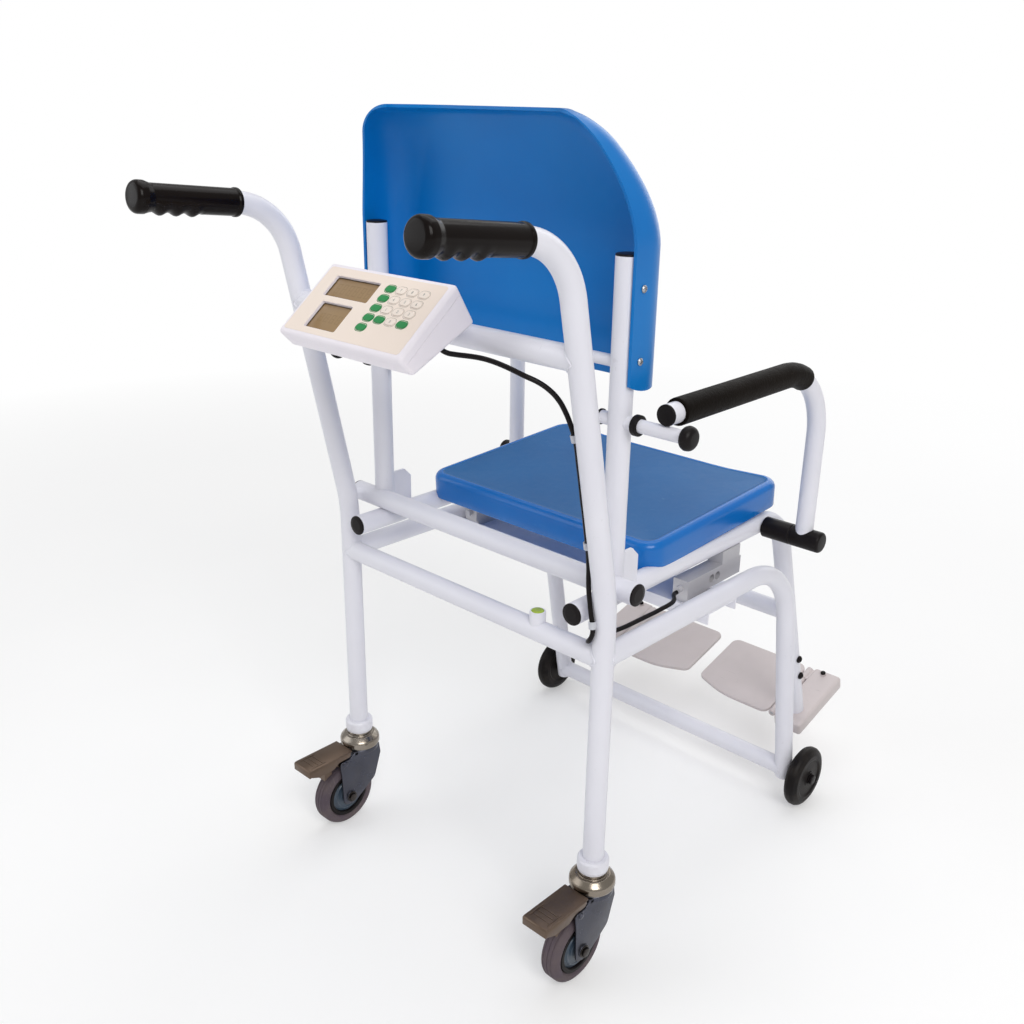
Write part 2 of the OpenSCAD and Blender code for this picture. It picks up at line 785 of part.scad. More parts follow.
// Points and faces of a bent sheet with an outer and an inner skin
module sheet(outer, inner) {
  m = len(outer);
  n = len(outer[0]);
  points = concat([for (row = outer, p = row) p], [for (row = inner, p = row) p]);
  o = function(i, j) i * n + j;
  s = function(i, j) m * n + i * n + j;
  faces = concat(
    [for (i = [0 : m - 2], j = [0 : n - 2]) each [
      [o(i, j), o(i + 1, j), o(i + 1, j + 1)], [o(i, j), o(i + 1, j + 1), o(i, j + 1)],
      [s(i, j), s(i, j + 1), s(i + 1, j + 1)], [s(i, j), s(i + 1, j + 1), s(i + 1, j)]
    ]],
    [for (i = [0 : m - 2]) each [
      [o(i, 0), s(i, 0), s(i + 1, 0)], [o(i, 0), s(i + 1, 0), o(i + 1, 0)],
      [o(i, n - 1), o(i + 1, n - 1), s(i + 1, n - 1)],
      [o(i, n - 1), s(i + 1, n - 1), s(i, n - 1)]
    ]],
    [for (j = [0 : n - 2]) each [
      [o(0, j), o(0, j + 1), s(0, j + 1)], [o(0, j), s(0, j + 1), s(0, j)],
      [o(m - 1, j), s(m - 1, j), s(m - 1, j + 1)],
      [o(m - 1, j), s(m - 1, j + 1), o(m - 1, j + 1)]
    ]]
  );
  polyhedron(points = points, faces = faces);
}

module back_shell() {
  color(blue) place() difference() {
    sheet(
      [for (row = back_rows) section(row, 0)],
      [for (row = back_rows) section(row, shell_t)]
    );
    for (side = [-1, 1], z = shell_screws_z)
      scale([side, 1, 1]) cross_rod(post_half, back_half + 1, screw_y, z, screw_d);
  }
}

// Screws, bolts and pins

screw_d = 4;
screw_y = -52;
shell_screws_z = [811, 892];
hanger_bolt_z = [195, 230];
hanger_bolt_d = 5;

function hanger_y(z) = -beam_length - (beam_z - z) * tan(hanger_lean);
function spigot_at(z) = [hanger_y(z), z];

// A pan head screw that points along -Z, with the underside of its head at zero
module pan_screw(d, head_d, head_h, length) {
  translate([0, 0, -length]) cylinder(d = d, h = length + 0.5);
  cylinder(d = head_d, h = head_h * 0.4);
  translate([0, 0, head_h * 0.4]) cylinder(d1 = head_d, d2 = head_d * 0.6, h = head_h * 0.6);
}

// A hexagon bolt that points along -Z, with the underside of its head at zero
module hex_bolt(d, length) {
  translate([0, 0, -length]) cylinder(d = d, h = length + 0.5);
  cylinder(d = d * 1.8, h = d * 0.6, $fn = 6);
}

module fasteners() {
  color(steel) place() for (side = [-1, 1]) scale([side, 1, 1]) {
    for (z = shell_screws_z)
      translate([back_half, screw_y, z]) rotate([0, 90, 0]) pan_screw(screw_d, 9, 3, shell_t + 8);
    for (z = hanger_bolt_z)
      translate([beam_half + tube_r, hanger_y(z), z]) rotate([0, 90, 0]) pan_screw(hanger_bolt_d, 12, 5, 6);
    translate([wheel_x + front_wheel_w / 2 + 0.6, axle_y, wheel_r]) rotate([0, 90, 0])
      hex_bolt(front_axle_d, wheel_x + front_wheel_w / 2 - leg_half + 9);
    for (y = cell_base_bolts)
      translate([beam_half, y, channel_top - channel_t]) rotate([180, 0, 0])
        hex_bolt(bolt_d - 0.1, channel_t + base_pad_h + 12);
    for (y = cell_top_bolts) translate([beam_half, y, beam_z - tube_id / 2 + 2]) {
      translate([0, 0, cell_top_z - beam_z + tube_id / 2 - 14])
        cylinder(d = bolt_d - 0.1, h = beam_z - tube_id / 2 + 13 - cell_top_z);
      cylinder(d = bolt_d * 1.5, h = 4, $fn = 6);
    }
    on_plate() rotate([90, 0, 0])
      translate([hinge_half, -plate_t / 2, -plate_length / 2 + 4]) cylinder(d = pin_d, h = plate_length - 8);
    on_plate() translate([block_mid - 4, plate_length / 2 - 10, block_top])
      cylinder(d = 9, h = 7);
  }
}

// Hand grips and castor collars

// A hand grip along +Z with its finger bumps towards +X
module grip() {
  bump_r = 12;
  difference() {
    union() {
      rotate_extrude() {
        square([grip_d / 2, grip_length - grip_edge_r]);
        translate([0, grip_length - 2 * grip_edge_r])
          square([grip_bulb_d / 2 - grip_edge_r, 2 * grip_edge_r]);
        translate([grip_bulb_d / 2 - grip_edge_r, grip_length - grip_edge_r]) circle(r = grip_edge_r);
        square([grip_d / 2 + 1, 4]);
      }
      for (k = [0 : 2]) translate([grip_d / 2 - bump_r + 5, 0, grip_length - 34 - 21 * k]) sphere(r = bump_r);
    }
    translate([0, 0, -1]) cylinder(d = tube_od, h = grip_length - 9);
  }
}

module hand_grips() {
  color(black) place() for (side = [-1, 1])
    translate([side * leg_half, 0, 0]) translate([0, handle_y, handle_z])
      rotate([handle_rise - 90, 0, 0]) translate([0, 0, grip_start]) rotate([0, 0, 90]) grip();
}

module caster_collars() {
  color(paint) place() for (side = [-1, 1]) translate([side * leg_half, 0, collar_z]) difference() {
    cylinder(d = tube_od + 2 * collar_wall, h = collar_h);
    difference() {
      translate([0, 0, collar_floor]) cylinder(d = tube_od, h = collar_h);
      cylinder(d = tube_id, h = collar_floor + bush_h);
    }
    translate([0, 0, -1]) cylinder(d = stem_d + 2 * run_gap, h = collar_floor + bush_h);
  }
}

// Castors, drawn at the origin of their stems

fork_gap = caster_tyre_w + 6;
fork_t = 3;
axle_d = 8;
head_d = 60;
ear_y = caster_trail + 9;
ear_z = wheel_d + 13;
pin_d = 6;
brake_press = 12;

module caster_fork(side) {
  color(zinc) place() translate([side * leg_half, 0, 0]) {
    difference() {
      union() {
        rotate_extrude() {
          translate([0, head_z]) square([stem_d / 2, collar_z + collar_floor + bush_h - 8 - head_z]);
          translate([0, head_z + head_h]) square([17, neck_h - rest_gap]);
          translate([0, head_z + 9]) square([head_d / 2 - 3, 7]);
          translate([head_d / 2 - 3.5, head_z + 12.5]) circle(r = 3.5);
          translate([0, head_z + 14]) square([23, 8]);
          translate([0, head_z]) square([head_d / 2 - 4, 10]);
        }
        for (x = [-1, 1]) side_plate(x * (fork_gap + fork_t) / 2, fork_t, [
          [-head_d / 2 + 2, head_z + 6], [-head_d / 2 + 2, head_z - 4], [-15, wheel_r + 14],
          [caster_trail - 13, wheel_r - 5], [caster_trail + 13, wheel_r - 5], [ear_y + 8, ear_z - 16],
          [ear_y + 8, ear_z + 6], [ear_y - 8, ear_z + 6], [head_d / 2 - 4, head_z + 6]
        ]);
        for (x = [-1, 1]) translate([x * (fork_gap + fork_t) / 2 - fork_t / 2, caster_trail, wheel_r])
          rotate([0, 90, 0]) cylinder(r = 14, h = fork_t);
        translate([-fork_gap / 2 - fork_t, -head_d / 2 + 2, head_z]) cube([fork_gap + 2 * fork_t, head_d - 6, 6]);
        cross_rod(-fork_gap / 2 - 1, fork_gap / 2 + 1, ear_y, ear_z, pin_d);
      }
      cross_rod(-fork_gap, fork_gap, caster_trail, wheel_r, axle_d + 2 * seat_gap);
    }
    cross_rod(-fork_gap / 2 - fork_t - 1, fork_gap / 2 + fork_t + 1, caster_trail, wheel_r, axle_d);
    for (x = [-1, 1]) scale([x, 1, 1]) translate([fork_gap / 2 + fork_t + seat_gap, caster_trail, wheel_r])
      rotate([0, 90, 0]) cylinder(d = 14, h = 5, $fn = 6);
  }
}

hub_r_share = 0.66;

module caster_wheel(side) {
  hub_r = wheel_r * hub_r_share;
  color(tyre_grey) place() translate([side * leg_half, caster_trail, wheel_r]) rotate([0, 90, 0]) {
    rotate_extrude() difference() {
      union() {
        translate([0, -caster_tyre_w / 2 + 8]) square([wheel_r, caster_tyre_w - 16]);
        translate([0, -caster_tyre_w / 2]) square([wheel_r - 8, caster_tyre_w]);
        for (z = [-1, 1]) translate([wheel_r - 8, z * (caster_tyre_w / 2 - 8)]) circle(r = 8);
      }
      translate([0, -caster_tyre_w]) square([hub_r, 2 * caster_tyre_w]);
    }
    rotate_extrude() difference() {
      union() {
        translate([0, -caster_tyre_w / 2 + 2]) square([hub_r - seat_gap, caster_tyre_w - 4]);
        translate([0, -fork_gap / 2 + 0.4]) square([9, fork_gap - 0.8]);
      }
      translate([0, -fork_gap]) square([axle_d / 2 + run_gap, 2 * fork_gap]);
    }
  }
}

module caster_brake(side) {
  plate_h = 2.5;
  plate_top = ear_z + 18;
  start = 25;
  press_y = ear_y + (caster_trail - ear_y) * cos(brake_press) - (wheel_r - ear_z) * sin(brake_press);
  press_z = ear_z + (caster_trail - ear_y) * sin(brake_press) + (wheel_r - ear_z) * cos(brake_press);
  color(zinc) place() translate([side * leg_half, 0, 0]) difference() {
    union() {
      translate([-pedal_w / 2, start, plate_top - plate_h]) cube([pedal_w, pedal_length, plate_h]);
      translate([-pedal_w / 2, start + pedal_length - plate_h, plate_top - 12]) cube([pedal_w, plate_h, 12]);
      for (x = [-1, 1]) side_plate(x * (pedal_w / 2 - 1.5), 3, [
        [ear_y - 8, plate_top - 1], [ear_y - 7, ear_z - 6], [ear_y + 7, ear_z - 6], [ear_y + 30, plate_top - 1]
      ]);
      translate([-pedal_w / 2 + 6, ear_y + 18, wheel_d - 14]) cube([pedal_w - 12, 14, plate_top - wheel_d + 13]);
    }
    cross_rod(-pedal_w, pedal_w, ear_y, ear_z, pin_d + 2 * run_gap);
    cross_rod(-pedal_w, pedal_w, press_y, press_z, wheel_d + 1.2);
  }
}

module caster_fork_left() { caster_fork(1); }
module caster_fork_right() { caster_fork(-1); }
module caster_wheel_left() { caster_wheel(1); }
module caster_wheel_right() { caster_wheel(-1); }
module caster_brake_left() { caster_brake(1); }
module caster_brake_right() { caster_brake(-1); }

module front_wheel(side) {
  edge = 9;
  color(black) place() translate([side * wheel_x, axle_y, wheel_r]) rotate([0, 90, 0])
    rotate_extrude() difference() {
      union() {
        square([wheel_r - edge, front_wheel_w], center = false);
        translate([0, edge]) square([wheel_r, front_wheel_w - 2 * edge]);
        for (z = [edge, front_wheel_w - edge]) translate([wheel_r - edge, z]) circle(r = edge);
      }
      translate([0, -1]) square([front_axle_d / 2 + run_gap, front_wheel_w + 2]);
    }
}

module front_wheel_left() { translate([-front_wheel_w / 2, 0, 0]) front_wheel(1); }
module front_wheel_right() { translate([-front_wheel_w / 2, 0, 0]) front_wheel(-1); }

// Armrests

arm_back_y = -43;
pad_back_y = -78;
arm_path = [[arm_back_y, arm_z], [pivot_y, arm_z], [pivot_y, beam_z]];
arm_radii = [0, arm_bend_r, 0];
pad_corner = [pivot_y + arm_bend_r - arm_bend_r * tan(pad_turn / 2), arm_z];
pad_path = [
  [pad_back_y, arm_z], pad_corner,
  along(pad_corner, 180 + pad_turn, arm_bend_r * tan(pad_turn / 2) + 1)
];

module armrest_tube(side) {
  color(paint) place() difference() {
    translate([side * arm_half, 0, 0]) bent_tube(arm_path, arm_radii, arm_od, arm_od - 2 * tube_wall);
    scale([side, 1, 1]) cross_rod(sleeve_in, sleeve_out, pivot_y, beam_z, sleeve_d);
  }
}

module arm_pad(side) {
  color(pad_brown) place() translate([side * arm_half, 0, 0]) difference() {
    bent_rod(pad_path, arm_radii, pad_d);
    bent_rod(longer(pad_path, 1), arm_radii, arm_od);
  }
}

module arm_fittings(side) {
  color(black) place() {
    scale([side, 1, 1]) difference() {
      cross_rod(sleeve_in, sleeve_out, pivot_y, beam_z, sleeve_d);
      cross_rod(sleeve_in - 1, sleeve_out - sleeve_cap, pivot_y, beam_z, pivot_d + 2 * run_gap);
    }
    translate([side * arm_half, arm_back_y, arm_z]) rotate([-90, 0, 0]) {
      cylinder(d = arm_od, h = cap_t);
      translate([0, 0, -10]) cylinder(d = arm_od - 2 * tube_wall, h = 10);
    }
  }
}

module armrest_tube_left() { armrest_tube(1); }
module armrest_tube_right() { armrest_tube(-1); }
module arm_pad_left() { arm_pad(1); }
module arm_pad_right() { arm_pad(-1); }
module arm_fittings_left() { arm_fittings(1); }
module arm_fittings_right() { arm_fittings(-1); }

// Footplates

block_mid = beam_half + 2;
block_in = block_mid - block_w / 2;
knuckle_d = 12;
hinge_half = block_in - knuckle_d / 2 - 1;
knuckle_l = 28;
knuckle_y = plate_length / 2 - 4 - knuckle_l / 2;
plate_out = hinge_half - knuckle_d / 2 - 2;

// The middle of a footplate's top: X as in the object, Y forward up the slope reversed, Z out
module on_plate() {
  translate([0, plate_mid_y, plate_z]) rotate([-plate_slope, 0, 0]) scale([1, -1, 1]) children();
}

module foot_block_solid(side) {
  on_plate() translate([side * block_mid - block_w / 2, -plate_length / 2 - block_end, block_top - block_h])
    cube([block_w, plate_length + 2 * block_end, block_h]);
}

// Blocks at the foot of the hangers, with the spigot inside the hanger and the outer hinge knuckles
module footplate_brackets() {
  spigot_top = 250;
  color(plate_grey) place() for (side = [-1, 1]) {
    difference() {
      union() {
        foot_block_solid(side);
        translate([side * beam_half, 0, 0])
          bent_rod([spigot_at(spigot_top), spigot_at(hanger_end_z)], [0, 0], tube_id - 0.3);
        for (end = [-1, 1]) on_plate() translate([side * hinge_half, end * knuckle_y, -plate_t / 2]) {
          rotate([90, 0, 0]) cylinder(d = knuckle_d, h = knuckle_l, center = true);
          translate([side * (block_in + 1 - hinge_half) / 2, 0, 0])
            cube([block_in + 1 - hinge_half, knuckle_l, plate_t], center = true);
        }
      }
      on_plate() translate([side * hinge_half, 0, -plate_t / 2]) rotate([90, 0, 0])
        cylinder(d = pin_d, h = plate_length + 10, center = true);
      for (z = hanger_bolt_z)
        scale([side, 1, 1]) cross_rod(beam_half, beam_half + tube_od, hanger_y(z), z, hanger_bolt_d);
    }
  }
}

// A footplate: flat plate with round corners and the middle hinge knuckle
module footplate(side) {
  inner = plate_out - plate_w;
  mid_l = plate_length - 2 * (4 + knuckle_l + 1);
  color(plate_grey) place() on_plate() scale([side, 1, 1]) difference() {
    union() {
      translate([0, 0, -plate_t]) linear_extrude(height = plate_t) difference() {
        translate([(inner + plate_out) / 2, 0]) round_rect(plate_w, plate_length, 14);
        polygon([
          [inner - 1, -plate_length / 2 - 1], [inner + 62, -plate_length / 2 - 1],
          [inner - 1, -plate_length / 2 + 20]
        ]);
      }
      translate([hinge_half, 0, -plate_t / 2]) rotate([90, 0, 0])
        cylinder(d = knuckle_d, h = mid_l, center = true);
      translate([plate_out - 4, -mid_l / 2, -plate_t]) cube([hinge_half - plate_out + 4, mid_l, plate_t]);
    }
    translate([hinge_half, 0, -plate_t / 2]) rotate([90, 0, 0])
      cylinder(d = pin_d + 2 * run_gap, h = plate_length, center = true);
  }
}

module footplate_left() { footplate(1); }
module footplate_right() { footplate(-1); }

// Indicator

cover_h = 12;
gland_x = 80;
cutter = 2 * case_depth_top;
window_1 = [-40, -33.4];
window_1_h = 30;
window_2 = [-42.5, -76];
window_2_h = 38;
board_z = -9;
display_top = -5.6;
board_t = 1.6;
key_top_y = -23.4;
key_pitch_y = 14.2;
mode_x = 19;
digit_x = [37, 55.5, 74];
mat_h = 1.4;
flange_t = 1.3;
flange_w = 1;
key_foot = 0.6;

case_section = [
  [0, 0], [-face_length, 0], [-face_length + case_in_low, -case_depth_low], [-case_in_top, -case_depth_top]
];

module case_block(inset) {
  rotate([90, 0, 90]) linear_extrude(height = case_w - 2 * inset, center = true)
    offset(delta = -inset) polygon(case_section);
}

// Posts that carry the circuit board
module case_posts() {
  for (x = [-1, 1], y = [-20, -face_length + 18]) translate([x * (case_w / 2 - 12), y, -70])
    cylinder(d = 8, h = 70 + board_z - board_t);
}

module indicator_case() {
  color(housing_white) on_face() difference() {
    union() {
      difference() {
        case_block(0);
        case_block(case_wall);
      }
      intersection() {
        case_block(0.5);
        case_posts();
      }
    }
    translate([0, 0, cutter / 2 - cover_h]) cube([2 * case_w, 3 * face_length, cutter], center = true);
  }
  color(black) on_floor() translate([gland_x, -38, -gland_l]) cylinder(d = gland_d + 1, h = gland_l);
}

// Middles of the keys on the face: the mode column, three rows of digits, and the last row
key_spots = concat(
  [for (k = [0 : 4]) [mode_x, key_top_y - k * key_pitch_y]],
  [for (row = [0 : 2], x = digit_x) [x, key_top_y - row * key_pitch_y]],
  [for (x = digit_x) [x, key_top_y - 3 * key_pitch_y]]
);

module indicator_cover() {
  color(housing_white) on_face() difference() {
    case_block(0);
    case_block(case_wall);
    translate([0, 0, -cutter / 2 - cover_h]) cube([2 * case_w, 3 * face_length, cutter], center = true);
    translate([window_1[0], window_1[1], -20])
      linear_extrude(height = 30) round_rect(window_1_w, window_1_h, 2);
    translate([window_2[0], window_2[1], -20])
      linear_extrude(height = 30) round_rect(window_2_w, window_2_h, 2);
    for (p = key_spots) translate([p[0], p[1], -20])
      linear_extrude(height = 30) oval(key_l + 2 * slide_gap, key_w + 2 * slide_gap);
  }
}

// Circuit board with the two displays and the contact mat under the keys
module circuit_board() {
  module_z = board_z + seat_gap;
  module_h = display_top - module_z;
  color(key_green) on_face() {
    translate([0, -face_length / 2, board_z - board_t / 2])
      cube([case_w - 2 * case_wall - 2, face_length - 2 * case_wall - 8, board_t], center = true);
    translate([mode_x - 9, key_top_y - 4 * key_pitch_y - 7, module_z])
      cube([digit_x[2] - mode_x + 18, 4 * key_pitch_y + 14, mat_h]);
  }
  color(display_olive) on_face() {
    translate([window_1[0], window_1[1], module_z + module_h / 2])
      cube([window_1_w + 3, window_1_h + 2, module_h], center = true);
    translate([window_2[0], window_2[1], module_z + module_h / 2])
      cube([window_2_w + 3, window_2_h + 4, module_h], center = true);
  }
}

module battery_pack() {
  color(black) on_floor() translate([-35, -62, case_wall]) cube([70, 44, 16]);
}

module key(i) {
  tone = i < 5 || i == 14 || i == 16 ? key_green : key_white;
  color(tone) on_face() translate([key_spots[i][0], key_spots[i][1], 0]) {
    base = board_z + mat_h + key_foot;
    translate([0, 0, base]) linear_extrude(height = key_rise - base) oval(key_l, key_w);
    translate([0, 0, -case_wall - rest_gap - flange_t]) linear_extrude(height = flange_t)
      oval(key_l + 2 * flange_w, key_w + 2 * flange_w);
  }
}

// Load cell lead, from the indicator down the right upright and along the rail to its load cell

lead_route = [
  [-80, 114.7, 831.1], [-80.4, 112.4, 826.5], [-84, 108, 822.5], [-93, 102, 820.8], [-105, 96, 820.3],
  [-118, 91, 819.7], [-132, 87, 818], [-146, 83.5, 815], [-160, 81, 811.5], [-173, 77, 807], [-185, 69, 801],
  [-194, 61, 793], [-202, 54, 782], [-209, 50, 769], [-215, 47.5, 755], [-219, 44.5, 740],
  [-220, 41, 725], [-220, 38, 710], [-220, 34.5, 695], [-220, 31.5, 680], [-220, 28.5, 665],
  [-220, 25, 650], [-220, 22, 635], [-220, 19, 620], [-220, 16, 605], [-220, 13.5, 590],
  [-220, 12, 575], [-220.5, 12, 560], [-222.5, 13, 546], [-226, 14.5, 533], [-230, 16.5, 520],
  [-234, 17.8, 508], [-234.5, 18, 497], [-230, 17, 487], [-224, 12.5, 481], [-220, 5, 478.5],
  [-219, -6, 478], [-219.5, -20, 476.5], [-220.5, -35, 474.5], [-221.5, -50, 473], [-222, -65, 472],
  [-222, -80, 471.5], [-222, -95, 471], [-222, -110, 470.5], [-222, -125, 470], [-222, -140, 470],
  [-221.5, -155, 469.5], [-219, -169, 468.5], [-213, -181, 467], [-206, -190, 465.8],
  [-202, -197, 465.2], [-201, -204, 465]
];
route_half = 238;        // half the leg spacing that the route's points were chosen for
route_free = 80;         // from here on the route leaves the indicator for the upright
route_held = 190;        // from here on it goes with the upright
function route_share(x) = min(1, max(0, (-x - route_free) / (route_held - route_free)));
lead_points = [for (p = lead_route) p - [(leg_half - route_half) * route_share(p[0]), 0, 0]];
lead_sides = 8;
lead_up = [1, 1, 1] / norm([1, 1, 1]);

function unit(v) = v / norm(v);
function lead_dir(i) = unit(lead_points[min(i + 1, len(lead_points) - 1)] - lead_points[max(i - 1, 0)]);
function lead_ring(i) = let(t = lead_dir(i), a = unit(cross(lead_up, t)), b = cross(t, a)) [
  for (k = [0 : lead_sides - 1]) let(w = 360 * k / lead_sides)
    lead_points[i] + lead_d / 2 * (a * cos(w) + b * sin(w))
];

module sensor_cable() {
  n = len(lead_points);
  points = [for (i = [0 : n - 1]) each lead_ring(i)];
  at = function(i, k) i * lead_sides + k % lead_sides;
  faces = concat(
    [for (i = [0 : n - 2], k = [0 : lead_sides - 1]) each [
      [at(i, k), at(i + 1, k), at(i + 1, k + 1)], [at(i, k), at(i + 1, k + 1), at(i, k + 1)]
    ]],
    [for (k = [1 : lead_sides - 2]) [at(0, 0), at(0, k), at(0, k + 1)]],
    [for (k = [1 : lead_sides - 2]) [at(n - 1, 0), at(n - 1, k + 1), at(n - 1, k)]]
  );
  color(black) place() polyhedron(points = points, faces = faces);
}

// Clips that hold the lead to the upright, at chosen points of its route
clip_points = [15, 24, 31];
clip_w = 2 * lead_d;
clip_h = 10;
clip_gap = 0.8;

module cable_clips() {
  color(key_white) place() for (i = clip_points) {
    spot = lead_points[i];
    t = lead_dir(i);
    difference() {
      translate(spot) cube([clip_w, clip_w, clip_h], center = true);
      upright_solid(-1);
      translate(spot) rotate([0, acos(t[2]), atan2(t[1], t[0])])
        cylinder(d = lead_d + 2 * clip_gap, h = 3 * clip_h, center = true);
    }
  }
}

upright_left();
upright_right();
side_rail_left();
side_rail_right();
upper_crossbar();
lower_crossbar();
front_crossbar();
cell_channel();
load_cells();
beam_left();
beam_right();
seat_crossbars();
back_frame();
end_plugs();
seat_shell();
back_shell();
fasteners();
hand_grips();
caster_collars();
bubble_level();
indicator_case();
indicator_cover();
circuit_board();
battery_pack();
sensor_cable();
cable_clips();
footplate_brackets();
armrest_tube_left();
armrest_tube_right();
arm_pad_left();
arm_pad_right();
arm_fittings_left();
arm_fittings_right();
footplate_left();
footplate_right();
caster_fork_left();
caster_fork_right();
caster_wheel_left();
caster_wheel_right();
caster_brake_left();
caster_brake_right();
front_wheel_left();
front_wheel_right();
key(0);  // key_mode_1
key(1);  // key_mode_2
key(2);  // key_mode_3
key(3);  // key_mode_4
key(4);  // key_mode_5
key(5);  // key_7
key(6);  // key_8
key(7);  // key_9
key(8);  // key_4
key(9);  // key_5
key(10);  // key_6
key(11);  // key_1
key(12);  // key_2
key(13);  // key_3
key(14);  // key_clear
key(15);  // key_0
key(16);  // key_enter
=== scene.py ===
"""Looks of the wheeled chair scale.

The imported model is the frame: every piece here is built in its place, in metres, and rides on one of its
bodies. Sizes are those of the part's source, in millimetres from the line of the rear uprights; at() turns
them into places in the model's frame.
"""

import json
import logging
import math
from dataclasses import dataclass
from enum import Enum
from typing import Callable, Iterable, Optional, Sequence

import bmesh
import bpy
from mathutils import Matrix, Vector

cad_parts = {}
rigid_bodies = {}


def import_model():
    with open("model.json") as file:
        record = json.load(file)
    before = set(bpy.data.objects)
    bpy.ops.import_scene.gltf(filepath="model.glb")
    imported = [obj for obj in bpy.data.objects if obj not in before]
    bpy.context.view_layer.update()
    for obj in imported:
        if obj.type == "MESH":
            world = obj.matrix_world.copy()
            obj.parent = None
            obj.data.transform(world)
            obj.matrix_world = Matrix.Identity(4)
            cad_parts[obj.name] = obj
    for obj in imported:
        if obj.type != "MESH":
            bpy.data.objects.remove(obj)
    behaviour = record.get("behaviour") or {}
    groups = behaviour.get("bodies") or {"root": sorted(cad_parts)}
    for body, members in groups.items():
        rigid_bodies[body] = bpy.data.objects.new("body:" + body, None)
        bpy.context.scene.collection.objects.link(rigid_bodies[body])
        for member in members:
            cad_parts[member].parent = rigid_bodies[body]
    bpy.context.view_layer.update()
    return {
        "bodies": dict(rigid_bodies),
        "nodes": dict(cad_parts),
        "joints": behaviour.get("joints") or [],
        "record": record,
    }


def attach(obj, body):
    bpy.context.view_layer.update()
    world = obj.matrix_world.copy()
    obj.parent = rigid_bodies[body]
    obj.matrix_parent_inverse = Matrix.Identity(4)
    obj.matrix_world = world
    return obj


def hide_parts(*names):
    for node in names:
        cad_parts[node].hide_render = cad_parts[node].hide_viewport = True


LOG = logging.getLogger("chair_scale")
BMesh = bmesh.types.BMesh
Mesh = bpy.types.Mesh
Node = bpy.types.Node
Object = bpy.types.Object
Socket = bpy.types.NodeSocket
Colour = tuple[float, float, float]
Flat = tuple[float, float]
Point = tuple[float, float, float]

# Sizes that several pieces share, in millimetres and degrees
ORIGIN_Y = 208.3723  # from the upright line to the model's middle
LEG_HALF = 238.0  # half the uprights' spacing
BEAM_HALF = 201.0  # half the seat beams' spacing
POST_HALF = 211.0  # half the back posts' spacing
BACK_HALF = 229.4  # half the back shell's width
TUBE_R = 14.0
BEAM_Z = 510.0
ROD_Y = -398.0  # the armrests' pivot rod
FRONT_WHEEL_Y = -514.204
WHEEL_R = 50.0
UPRIGHT_LEAN = 12.0
FRONT_LEAN = 10.2
HANGER_LEAN = 18.4


class Side(Enum):
    """The two sides of the chair, as the sitter has them."""

    LEFT = 1
    RIGHT = -1

    @property
    def word(self) -> str:
        """The side's name as used in node and body names."""
        return self.name.lower()


def at(x: float, y: float, z: float) -> Vector:
    """Turns millimetres from the upright line into the model's frame.

    Args:
        x: Millimetres to the sitter's left.
        y: Millimetres to the rear of the upright line.
        z: Millimetres above the floor.

    Returns:
        The point in metres.
    """
    return Vector((x, y + ORIGIN_Y, z)) / 1000.0


def srgb(red: int, green: int, blue: int) -> Colour:
    """Turns an 8-bit screen colour into linear light."""
    return tuple(c / 12.92 if c <= 0.04045 else ((c + 0.055) / 1.055) ** 2.4
                 for c in (red / 255.0, green / 255.0, blue / 255.0))


def placed(name: str, data: bpy.types.ID) -> Object:
    """Links a new object with its data into the scene."""
    made = bpy.data.objects.new(name, data)
    bpy.context.scene.collection.objects.link(made)
    return made


def mesh_of(bm: BMesh, name: str) -> Mesh:
    """Turns a bmesh into a mesh and frees it."""
    mesh = bpy.data.meshes.new(name)
    bm.to_mesh(mesh)
    bm.free()
    return mesh


def shaped(holder: Object) -> Mesh:
    """A new mesh of an object as its modifiers or its curve's settings shape it."""
    bpy.context.view_layer.update()
    graph = bpy.context.evaluated_depsgraph_get()
    return bpy.data.meshes.new_from_object(holder.evaluated_get(graph))


def loaded(mesh: Mesh, bm: Optional[BMesh] = None) -> BMesh:
    """Moves a mesh into a bmesh, a new one if none is given, and removes it."""
    if bm is None:
        bm = bmesh.new()
    bm.from_mesh(mesh)
    bpy.data.meshes.remove(mesh)
    return bm


# Materials


